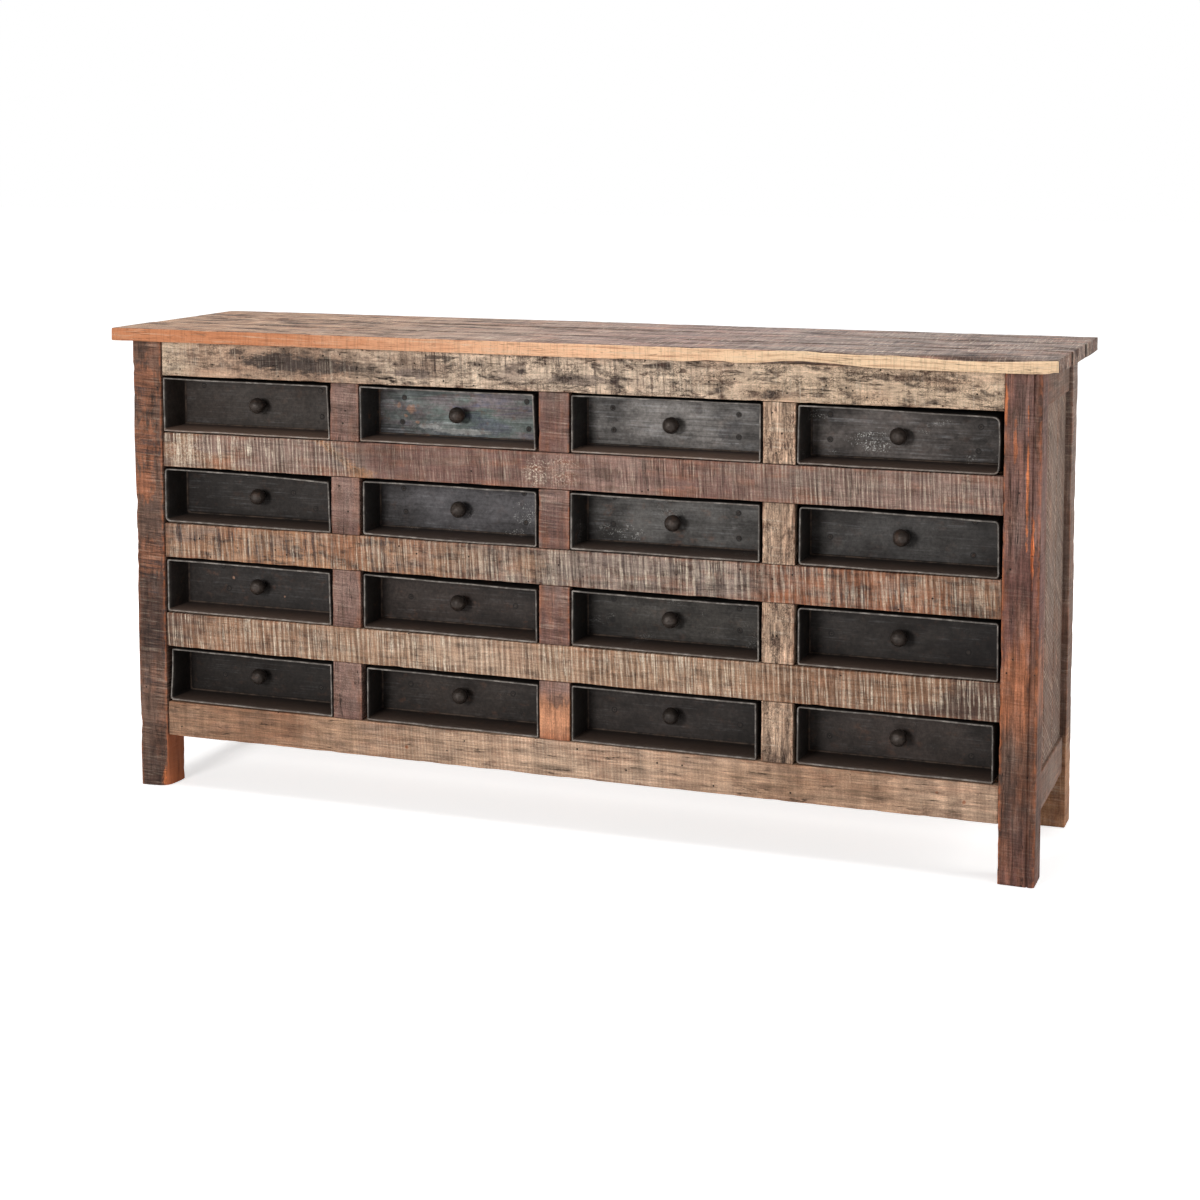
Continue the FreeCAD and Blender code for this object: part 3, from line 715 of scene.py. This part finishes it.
def tray_sheet(origin, seed, corners, bows, radius):
    """The tray as one sheet with thickness: bent, dented, its corners square or rounded.

    corners, bows and radius are in millimetres, from the lower left corner or the bottom side round."""
    rng = np.random.default_rng(seed)
    half, low, high, depth, floor = TRAY_HALF, TRAY_LOW, TRAY_HIGH, TRAY_DEPTH, TRAY_DEPTH - SHEET
    corner_shift = np.array(corners) / 1000 + rng.uniform(-0.0003, 0.0003, (4, 2))
    ripple = rng.uniform(-1, 1, (4, 5)) * 0.00022

    def side(number, t, share):
        """How far one side of the rim is off its line, at t along it."""
        bow = math.sin(math.pi * min(1, max(0, t))) * bows[number] / 1000
        return bow + share * np.sin(math.pi * np.arange(2, 7) * t) @ ripple[number]

    def ring(inset, y):
        shrink = DRAFT * y / depth + inset
        radii = [max(0.0004, r / 1000 - inset * 0.7) for r in radius]
        fade = max(0.0, 1 - y / depth) ** 1.3
        for x, z in tray_ring(half - shrink, low + shrink, high - shrink, radii):
            u, v = (x + half) / (2 * half), (z - low) / (high - low)
            dx, dz = blend(corner_shift, u, v)
            dx += side(3, v, 0.5) * (1 - u) + side(1, v, 0.5) * u
            dz += side(0, u, 1) * (1 - v) + side(2, u, 1) * v
            yield x + dx * fade, TRAY_BACK + y, z + dz * fade

    # (inset, depth) of each ring: up the outside of the walls, over the rim, down to the plate
    steps = [(0.0010, depth), (0.0002, depth - 0.0010), (0, depth - 0.004)]
    steps += [(0, y) for y in np.linspace(depth - 0.016, 0.004, 7)]
    steps += [(0, 0.0009), (0.0004, 0.0002), (0.0010, 0), (SHEET - 0.0010, 0), (SHEET - 0.0004, 0.0002),
              (SHEET, 0.0009)]
    steps += [(SHEET, y) for y in np.linspace(0.004, depth - 0.018, 7)]
    steps += [(SHEET, floor - 0.003), (SHEET + 0.0006, floor - 0.0012), (SHEET + 0.0018, floor - 0.0002),
              (SHEET + 0.003, floor)]
    verts = [point for inset, y in steps for point in ring(inset, y)]
    faces = skin(0, len(steps), AROUND, caps=False)
    walls = len(verts)

    def plate(first, way):
        """Fills a ring with a grid of faces, worked out from the ring's four sides."""
        rim = first + np.append(np.arange(AROUND), 0)
        grid = np.empty((ACROSS + 1, UP + 1), int)
        grid[:, 0], grid[-1] = rim[:ACROSS + 1], rim[ACROSS:ACROSS + UP + 1]
        grid[:, -1], grid[0] = rim[ACROSS + UP:AROUND - UP + 1][::-1], rim[AROUND - UP:][::-1]
        grid[1:-1, 1:-1] = len(verts) + np.arange((ACROSS - 1) * (UP - 1)).reshape(ACROSS - 1, UP - 1)
        at = np.array(verts)
        u = (np.arange(1, ACROSS) / ACROSS)[:, None, None]
        v = (np.arange(1, UP) / UP)[:, None]
        inner = at[grid[1:-1, :1]] * (1 - v) + at[grid[1:-1, -1:]] * v
        inner = inner + at[grid[:1, 1:-1]] * (1 - u) + at[grid[-1:, 1:-1]] * u
        inner -= blend(at[grid[[0, -1, -1, 0], [0, 0, -1, -1]]], u, v)
        verts.extend(inner.reshape(-1, 3).tolist())
        quads = np.dstack((grid[:-1, :-1], grid[1:, :-1], grid[1:, 1:], grid[:-1, 1:])).reshape(-1, 4)
        faces.extend(quads[:, ::way].tolist())

    plate(0, 1)
    plate(walls - AROUND, -1)
    data = np.array(verts)
    wall, edge, seam = np.zeros((3, len(data)))
    wall[:walls] = 1
    edge[:walls] = np.repeat([1 if y < 0.001 else math.exp((0.001 - y) / 0.002) * 0.7 for _, y in steps],
                             AROUND)
    seam[walls - 3 * AROUND:walls] = 1
    for _ in range(5):
        x, z = rng.uniform(-half, half), rng.uniform(low, high)
        size = rng.uniform(0.02, 0.06)
        reach = np.exp(-((data[:, 0] - x) ** 2 + (data[:, 2] - z) ** 2) / size**2)
        data[walls:, 1] += (rng.uniform(-0.0006, 0.0006) * reach)[walls:]
    place = (data - [-half, 0, low]) / [2 * half, depth, high - low]
    attributes = {"grain": data + rng.uniform(0, 30, 3), "place": place, "edge": edge, "wall": wall,
                  "seam": seam}
    return data + origin, faces, attributes


def iron(name, tint=(74, 70, 67), streak=0.3, rust=0.1, specks=0.1, wall_tint=(32, 28, 26), sheen=None,
         light=(0.5, 0.5), relief=0.0005, polish=0.0, marks=(), trail=None, dust=0.0, screws=(), seed=0):
    """Blackened sheet iron with painted light: a painted lit place, and painted shade towards the plate's
    edges; light is where on the plate the lit place is.

    marks lists (across, up, half width, half height, colour, power) on the plate, and trail is such
    a place where the metal is flecked. dust is how brown the tray's floor is. screws lists where
    on the plate, in metres from its left and foot, the screws lie, each ringed with painted shade in its
    sink."""
    t = Tree(name)
    t.at = t.scaled(t.vector("grain"), (1, 1, 1), (seed * 1.7, 0, seed * 2.3))
    across, _, up = t.parts(t.vector("place"))
    wall = t.value("wall")
    on_plate = 1 - wall
    dark = rgb(*wall_tint)
    cloud = t.layer((13, 13, 24), (0, 0, 0), 6, 0.62, 0.4)
    t.colour = t.mix(rgb(*tint), dark, t.band(cloud, 0.44, 0.66, 0, 0.5))
    # Painted shade, darker towards the plate's edges, away from the painted lit place at light
    away = t.far(across - light[0], (up - light[1]) * 0.62) + t.band(cloud, 0.3, 0.7, -0.12, 0.12)
    t.paint(dark, t.band(away, 0.22, 0.58, 0, 0.8) * on_plate)
    if sheen:
        film = t.layer((9, 9, 26), (4, 4, 4), 4, 0.6, 0.8)
        tones = t.ramp(film, [(where, rgb(*tone)) for where, tone in zip((0.3, 0.45, 0.55, 0.66), sheen)])
        t.paint(tones, on_plate * t.band(away, 0.1, 0.6, 0.8, 0.1))
    ragged = t.band(t.layer((70, 70, 90), (8, 8, 8), 5, 0.65), 0.3, 0.7, -0.5, 0.5)

    def near(x, z, wide, high):
        return t.band(t.far((across - x) / wide, (up - z) / high) + ragged, 1.1, 0.7) * on_plate

    for *where, mark_colour, power in marks:
        t.paint(rgb(*mark_colour), near(*where), power)
    brushed = t.layer((5, 14, 300), (0, 0, 0), 4, 0.75, 0.1)
    broken = t.band(t.layer((30, 30, 60), (9, 1, 2), 5, 0.65), 0.45, 0.62)
    t.paint(rgb(200, 200, 202), t.band(brushed, 0.5, 0.72) * broken, streak * 0.4)
    t.paint(rgb(24, 21, 20), t.band(brushed, 0.48, 0.3), streak * 0.8)
    # Walls take the dark iron colour; on a knob the neck counts as wall, and there the dark is painted shade
    # behind the ball
    t.paint(dark, wall, 0.9)
    t.paint(rgb(104, 68, 48), t.band(t.layer((42, 42, 55), (2, 2, 2), 6, 0.68), 0.56, 0.68), rust)
    grime = t.layer((150, 150, 150), (6, 2, 8), 6, 0.7)
    t.vary(grime, 0.3)
    t.vary(t.layer((30, 30, 38), (2, 7, 5), 6, 0.66, 0.3), 0.18)
    flecked = t.band(t.layer((18, 18, 30), (7, 1, 3), 3, 0.5), 0.62, 0.7, 0, 0.5)
    if trail:
        sparse = t.band(t.layer((60, 60, 60), (1, 3, 3), 4, 0.7), 0.45, 0.55)
        flecked = t.calc("MAXIMUM", flecked, near(*trail) * sparse)
    t.paint(rgb(200, 198, 192), t.band(t.layer((500, 500, 500), detail=2), 0.58, 0.63) * flecked, specks)
    t.paint(rgb(128, 104, 90), t.band(up, 0.045, 0.03) * wall, dust)
    # Painted highlight along the rim, and a pale line of dust where wall and plate meet
    rim_glint_and_seam_dust = t.layer((55, 55, 55), (3, 3, 3), 6, 0.7)
    t.paint(rgb(172, 164, 156), t.value("edge") * t.band(rim_glint_and_seam_dust, 0.46, 0.62, 0.35, 1), 0.65)
    # Painted shade: a dark ring in the countersink round each screw
    for x, z in screws:
        far = t.far(across * (2 * TRAY_HALF) - x, up * (TRAY_HIGH - TRAY_LOW) - z)
        t.paint(rgb(22, 19, 18), t.band(far, 0.0062, 0.0048) * on_plate, 0.8)
    t.paint(rgb(120, 100, 86), t.value("seam") * t.band(rim_glint_and_seam_dust, 0.4, 0.6, 0.1, 1), 0.35)
    rough = t.band(cloud, 0.3, 0.7, 0.46 - polish, 0.62 - polish) + wall * 0.12
    return t.surface(rough, grime * 0.5 + brushed * 0.25, relief, Metallic=0.2, Specular_IOR_Level=0.17)


def turning(profile, segments, x=0.0, z=0.0, turn=0.0, cross=()):
    """Corners of a turning about the line through (x, z) along Y; rings in cross carry a cross recess."""
    angles = 2 * math.pi * np.arange(segments) / segments
    rings = []
    for i, (r, y) in enumerate(profile):
        sink = 0.0008 * np.clip(np.cos(4 * angles), 0, None) * (i in cross)
        rings.append(np.column_stack((x + r * np.cos(angles + turn), y + sink,
                                      z + r * np.sin(angles + turn))))
    return np.concatenate(rings)


def ball_knob(origin, seed):
    """A forged ball on its neck, beaten by hand, about the tray's middle."""
    rng = np.random.default_rng(seed)
    radius, neck, segments = 0.0155, 0.0044, 32
    middle = PLATE - 0.006 - radius
    profile = [(max(0.0002, radius * math.sin(angle)), -radius * math.cos(angle))
               for angle in np.linspace(0, 0.9 * math.pi, 21)]
    back = PLATE - middle
    profile += [(neck * 1.03, radius * 0.985), (neck, radius + 0.002), (neck, back - 0.002),
                (neck * 1.25, back - 0.0008), (neck * 1.6, back)]
    facets = rng.normal(size=(34, 3))
    facets /= np.linalg.norm(facets, axis=1)[:, None]
    depth = rng.uniform(0.94, 0.985, 34)
    points = turning(profile, segments)
    for point in points:
        over = facets @ point - depth * radius
        hit = over.argmax()
        if np.linalg.norm(point) > radius * 0.9 > point[1] and over[hit] > 0:
            point -= facets[hit] * over[hit]
    # The neck counts as wall, so its material paints it dark: painted shade behind the ball
    hidden = points[:, 1] > radius * 0.9
    points += [0, middle, 0]
    attributes = {"grain": points + rng.uniform(0, 20, 3), "edge": np.zeros(len(points)), "wall": hidden}
    return points + origin, skin(0, len(profile), segments, -1), attributes


BOX_FRONT = 0.016
NUT_RADIUS, NUT_HEIGHT, NUT_BEVEL, STUD_RADIUS = 0.00577, 0.005, 0.0008, 0.003
SCREW_HEAD = [(0.0004, 0.0002), (0.0012, -0.0005), (0.0020, -0.0007), (0.0030, -0.0007), (0.0035, -0.0004),
              (0.0036, 0.0000)]


def screw_heads(origin, places, stud, seed):
    """Countersunk screws in the tray's plate, and the knob's stud end and nut behind the box's front."""
    rng = np.random.default_rng(seed)
    head = [(r, PLATE + y) for r, y in SCREW_HEAD]
    shapes = [(head, 24, x, z, rng.uniform(0, math.pi), (1, 2)) for x, z in places]
    nut = TRAY_BACK + TRAY_DEPTH + BOX_FRONT
    end = nut + NUT_HEIGHT
    shapes.append(([(NUT_RADIUS - NUT_BEVEL, nut), (NUT_RADIUS, nut + NUT_BEVEL),
                    (NUT_RADIUS, end - NUT_BEVEL), (NUT_RADIUS - NUT_BEVEL, end)], 6, stud, KNOB_HEIGHT))
    shapes.append(([(STUD_RADIUS, end - NUT_BEVEL), (STUD_RADIUS, end + 0.0022),
                    (STUD_RADIUS * 0.7, end + 0.003)], 16, stud, KNOB_HEIGHT))
    verts, faces = np.empty((0, 3)), []
    for profile, segments, *where in shapes:
        faces += skin(len(verts), len(profile), segments, -1)
        verts = np.concatenate((verts, turning(profile, segments, *where)))
    # edge at 0.1 gives the screws, nut and stud end a faint painted highlight; wall at 0.5 darkens them half
    # way to the dark iron
    attributes = {"grain": verts + rng.uniform(0, 20, 3), "edge": np.full(len(verts), 0.1),
                  "wall": np.full(len(verts), 0.5)}
    return verts + origin, faces, attributes


# The tables run along each row of drawers from the left, and from the top row down
# How far each tray's rim is knocked out of square: (x, z) of the corners in mm, from the lower left
# round; then how far its sides bow, and its corner radii
tray_shapes = [
    (((-3.2, -1.6), (3.2, -2.0), (-0.6, 1.5), (-3.4, 3.4)), (0, 0, -0.8, 0), (2, 2, 2, 2)),
    (((-2.2, -1.4), (-0.5, -2.0), (-5.5, 2.0), (-2.6, 3.4)), (0, 0, -1.0, 0), (2, 2, 3, 2)),
    (((-0.8, -1.4), (1.0, -1.6), (1.6, 2.6), (-0.8, 3.8)), (0, 0, 0.3, 0), (2, 2, 2, 3)),
    (((-2.4, -1.2), (-3.8, -1.8), (-3.4, -2.6), (-0.4, 3.2)), (0, 1.5, 1.0, 0), (5, 9, 10, 3)),
    (((-3.4, -1.4), (2.4, -2.0), (-0.8, -4.6), (-2.8, 2.8)), (-0.5, 0, 2.4, -0.5), (9, 2, 3, 6)),
    (((1.8, -0.2), (0.4, -2.0), (-0.6, 0.8), (2.6, 2.0)), (-1.6, 0, 0.6, 0), (4, 4, 4, 4)),
    (((-2.8, -1.6), (0.6, -1.8), (0.2, 1.4), (-2.6, 3.2)), (0, 0, -0.8, 0), (2, 2, 2, 2)),
    (((2.2, -1.0), (-0.8, -1.8), (-3.0, -2.0), (2.8, 2.6)), (0, 0.4, 0.8, 0), (6, 6, 7, 5)),
    (((-1.6, -1.2), (1.2, -1.8), (-0.8, -0.4), (-1.4, 2.4)), (0, 0, 0.6, 0), (4, 2, 2, 3)),
    (((1.2, -1.2), (0.6, -2.0), (-0.4, -2.4), (1.6, 3.0)), (0.6, 0, -0.6, 0), (4, 2, 3, 3)),
    (((-0.8, -1.2), (0.6, -1.8), (0.2, 0.4), (-0.6, 1.6)), (0, 0, -1.4, 0), (4, 2, 2, 2)),
    (((1.6, -1.6), (0.8, -1.8), (-0.2, 0.6), (1.8, 1.6)), (0, 0, 0.8, 0), (4, 4, 4, 6)),
    (((-0.6, -0.6), (1.6, -1.8), (1.0, 0.4), (5.6, 2.6)), (0, 0, 0, 1.4), (7, 2, 2, 2)),
    (((6.0, -1.0), (2.2, -1.8), (1.6, -1.6), (6.6, 1.4)), (0, 0, 0.4, 0), (2, 2, 2, 2)),
    (((-0.8, -1.4), (-3.2, -2.0), (-4.2, 1.4), (-0.6, 2.6)), (0, 0, -0.6, 0), (2, 2, 2, 3)),
    (((0.8, -1.2), (-5.4, -1.8), (-6.2, 0.8), (1.6, 2.8)), (0, 0, 0.4, 0), (6, 4, 3, 5)),
]
# Where each knob sits beside its middle, in mm
knob_shifts = [0, -1, -3, -10, -2, 1, 1, -3, -5, -1, -4, -5, -6, 1, -2, -4]
# Screws seen in a plate: (across, up) in mm from the tray's middle and foot
tray_screws = [
    [(-128, 84), (126, 84), (128, 34)], [(-118, 78), (-122, 32), (130, 80), (134, 30)],
    [(-121, 76), (-119, 36), (117, 74), (117, 34)], [(-136, 82), (-136, 38), (128, 72), (124, 30)],
    [(64, 60), (112, 32)], [(-121, 82), (-117, 38), (124, 86), (127, 32)],
    [(-118, 90), (-120, 40), (117, 74), (118, 28)], [(-132, 92), (-134, 42), (120, 84), (118, 26)],
    [(-92, 84), (-80, 40)], [(-106, 92), (-108, 52), (106, 50), (108, 94)],
    [(-119, 78), (-121, 40), (120, 78), (121, 38)], [(-130, 84), (-130, 46), (112, 32)],
    [(-92, 44), (118, 36)], [(-110, 60), (100, 60)], [(-118, 48), (122, 42)], [(-132, 38), (120, 26)],
]
# Colour and wear of each tray's plate, and where its painted lit place lies (light)
OIL = [(66, 72, 86), (92, 106, 98), (118, 106, 106), (86, 88, 108)]
EMBER, PALE_IRON, DULL_IRON = (136, 104, 86), (150, 148, 144), (76, 73, 72)
tray_looks = [
    dict(tint=(56, 50, 46), streak=0.2, light=(0.6, 0.4), wall_tint=(48, 41, 37), dust=0.8),
    dict(tint=(108, 106, 106), streak=0.8, rust=0.5, light=(0.6, 0.6), sheen=OIL, dust=0.65,
         marks=[(0.20, 0.55, 0.028, 0.09, EMBER, 0.9), (0.17, 0.42, 0.012, 0.05, EMBER, 0.8),
                (0.13, 0.62, 0.012, 0.05, EMBER, 0.7), (0.24, 0.3, 0.012, 0.04, EMBER, 0.7),
                (0.5, 0.16, 0.2, 0.06, PALE_IRON, 0.7), (0.3, 0.24, 0.08, 0.05, PALE_IRON, 0.6)]),
    dict(tint=(112, 107, 103), streak=0.7, light=(0.5, 0.6), wall_tint=(24, 21, 20), dust=0.85,
         marks=[(0.76, 0.36, 0.045, 0.12, DULL_IRON, 0.8), (0.81, 0.5, 0.045, 0.12, DULL_IRON, 0.8),
                (0.62, 0.78, 0.02, 0.12, (70, 66, 64), 0.7)]),
    dict(tint=(88, 81, 77), streak=0.6, specks=0.9, light=(0.42, 0.45), trail=(0.32, 0.36, 0.11, 0.2),
         dust=0.4, marks=[(0.9, 0.78, 0.008, 0.12, (30, 26, 24), 0.8)]),
    dict(tint=(44, 39, 36), light=(0.75, 0.5)),
    dict(tint=(78, 75, 76), specks=0.7, light=(0.6, 0.6), trail=(0.86, 0.5, 0.06, 0.25)),
    dict(tint=(84, 81, 78), streak=0.4, specks=0.8, rust=0.3, light=(0.55, 0.6),
         trail=(0.2, 0.25, 0.12, 0.15)),
    dict(tint=(60, 57, 55), streak=0.2, light=(0.4, 0.5)),
    dict(tint=(42, 38, 36), streak=0.15, wall_tint=(46, 40, 37), dust=0.4, rust=0.2,
         marks=[(0.3, 0.6, 0.008, 0.03, EMBER, 0.9), (0.62, 0.3, 0.006, 0.02, EMBER, 0.9)]),
    dict(tint=(52, 44, 40), streak=0.2, rust=0.2, light=(0.4, 0.5)),
    dict(tint=(60, 56, 52), streak=0.25, wall_tint=(24, 21, 20), dust=0.3, light=(0.55, 0.5), specks=0.5),
    dict(tint=(42, 37, 34), streak=0.15, wall_tint=(24, 20, 19), dust=0.3, light=(0.4, 0.5)),
    dict(tint=(34, 29, 26), streak=0.15),
    dict(tint=(50, 43, 39), streak=0.15, rust=0.2),
    dict(tint=(48, 42, 39), streak=0.15, light=(0.35, 0.5)),
    dict(tint=(56, 48, 44), streak=0.15, rust=0.2),
]
knob_iron = iron("knob_iron", tint=(60, 52, 47), streak=0.1, rust=0.2, wall_tint=(28, 24, 22), relief=0.002,
                 polish=0.18, light=(0, 0))
drawers = [(row, column, "drawer_r%dc%d" % (row, column)) for row in (1, 2, 3, 4) for column in (1, 2, 3, 4)]
for (row, column, node), shape, shift, screws, look in zip(drawers, tray_shapes, knob_shifts, tray_screws,
                                                           tray_looks):
    middle = left_inner + opening_width / 2 + (column - 1) * opening_pitch
    origin = np.array([middle, rail_face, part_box(RAIL_NODES[4 - row])[1].z])
    seed = 700 + 10 * row + column
    places = [(x / 1000, z / 1000) for x, z in screws]
    stud = shift / 1000
    plate_look = iron(node + "_iron", seed=10 * row + column, **{"dust": 0.25, **look},
                      screws=[(x + TRAY_HALF, z - TRAY_LOW) for x, z in places])
    meshes = (("_tray_sheet", tray_sheet(origin, seed, *shape), plate_look),
              ("_knob", ball_knob(origin + [stud, 0, KNOB_HEIGHT], seed), knob_iron),
              ("_screws", screw_heads(origin, places, stud, seed), knob_iron))
    for part, mesh, material in meshes:
        new_piece(node + part, mesh, material, [node + "_tray"], node, part != "_screws")

# Hidden woodwork

inner_look = dict(stops=[(0, TAN), (0.5, SAND), (1, TAN)], grain=0.3, dirt=0.25, saw=0.12, holes=0.05)
strip_wood = wood("strip_wood", own_axes=(1, 0, 2), seed=51, **inner_look)
cross_wood = wood("cross_wood", own_axes=(0, 1, 2), seed=52, **inner_look)
for name in ("top_battens", "drawer_runners", "drawer_guides", "drawer_kickers", "back_rails"):
    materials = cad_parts[name].data.materials
    materials.clear()
    materials.append(cross_wood if name == "back_rails" else strip_wood)

box_wood = wood("box_wood", spread=0.12, seed=53, **inner_look)
BOX_SIDE, BOX_BOTTOM, BOX_LIFT, BOX_REBATE, BACK_DROP = 0.012, 0.006, 0.008, 0.008, 0.004
# How far a hidden face is held back from its neighbour's
SHY = 0.0004
for row, column, node in drawers:
    lo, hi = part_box(node + "_box")
    inner_lo, inner_hi = lo.x + BOX_SIDE, hi.x - BOX_SIDE
    front_back, floor = lo.y + BOX_FRONT, lo.z + BOX_LIFT
    parts = [((lo.x + SHY, lo.y, lo.z + SHY), (hi.x - SHY, front_back, hi.z - SHY), "X"),
             ((lo.x, front_back - BOX_REBATE, lo.z), (inner_lo, hi.y, hi.z), "Y"),
             ((inner_hi, front_back - BOX_REBATE, lo.z), (hi.x, hi.y, hi.z), "Y"),
             ((inner_lo, hi.y - BOX_SIDE, floor + BOX_BOTTOM), (inner_hi, hi.y - SHY, hi.z - BACK_DROP), "X"),
             ((inner_lo, front_back - SHY, floor), (inner_hi, hi.y - SHY, floor + BOX_BOTTOM), "X")]
    boards = Boards()
    for number, part in enumerate(parts):
        boards.add(*part, 900 + 10 * row + column + 100 * number, step=0.03, chip=0.0006, mesh_step=0.05)
    boards.piece(node + "_box_boards", [node + "_box"], box_wood, "inner_wood", node)

# Stage, light, camera

scene = bpy.context.scene
floor_mesh = bpy.data.meshes.new("floor")
floor_mesh.from_pydata([(-30, -30, 0), (30, -30, 0), (30, 30, 0), (-30, 30, 0)], [], [(0, 1, 2, 3)])
floor = bpy.data.objects.new("floor", floor_mesh)
scene.collection.objects.link(floor)
t = Tree("floor_paint")
path = t.node("LightPath")
seen = t.calc("MAXIMUM", t.take(path, "Is Camera Ray"), t.take(path, "Is Glossy Ray"))
across, deep, _ = t.parts(t.take(t.node("TexCoord"), "Object"))
glow = t.node("Emission", Strength=seen * t.band(t.far(across * 0.6, deep), 0.8, 2.2, 0.6, 1.0))
both = t.node("AddShader")
t.feed(both.inputs[0], t.take(t.node("BsdfDiffuse", Color=(0.86, 0.86, 0.86))))
t.feed(both.inputs[1], t.take(glow))
t.feed(t.output.inputs["Surface"], t.take(both))
floor_mesh.materials.append(t.block)

# The world looks white, and lights the object as a dim grey
t = Tree("studio", "worlds", "OutputWorld")
path = t.node("LightPath")
seen = t.calc("MAXIMUM", t.take(path, "Is Camera Ray"), t.take(path, "Is Glossy Ray"))
pick = t.node("MixShader")
t.feed(pick.inputs[0], t.calc("MAXIMUM", seen, t.take(path, "Is Transmission Ray")))
for socket, strength in zip(pick.inputs[1:], (0.22, 1.0)):
    t.feed(socket, t.take(t.node("Background", Color=(1, 1, 1), Strength=strength)))
t.feed(t.output.inputs["Surface"], t.take(pick))
scene.world = t.block

for name, place, target, size, power in (("key", (-1.1, -4.5, 1.5), (0, 0, 0.45), (1.1, 1.1), 125),
                                         ("side", (4.2, 0.1, 1.6), (0.8, 0, 0.5), (2.0, 2.0), 58),
                                         ("overhead", (0, -0.2, 3.4), (0, 0, 0.5), (3.5, 2.0), 58),
                                         ("rear", (-0.6, 4.0, 1.6), (0, 0.2, 0.5), (2.5, 2.0), 90)):
    light = bpy.data.lights.new(name, "AREA")
    light.shape = "RECTANGLE"
    light.size, light.size_y = size
    light.energy = power
    lamp = bpy.data.objects.new(name, light)
    lamp.location = place
    lamp.rotation_euler = (Vector(target) - Vector(place)).to_track_quat("-Z", "Y").to_euler()
    scene.collection.objects.link(lamp)

camera_data = bpy.data.cameras.new("camera")
camera_data.sensor_width = 36
camera_data.lens = 64.95
camera_data.shift_x = -0.01667
camera_data.shift_y = -0.2125
camera = bpy.data.objects.new("camera", camera_data)
camera.location = (1.4299, -3.7628, 1.2568)
YAW, PITCH = math.radians(20.084), math.radians(5.409)
forward = Vector((-math.sin(YAW) * math.cos(PITCH), math.cos(YAW) * math.cos(PITCH), -math.sin(PITCH)))
camera.rotation_mode = "QUATERNION"
camera.rotation_quaternion = forward.to_track_quat("-Z", "Y")
scene.collection.objects.link(camera)
scene.camera = camera
scene.view_settings.view_transform = "Standard"
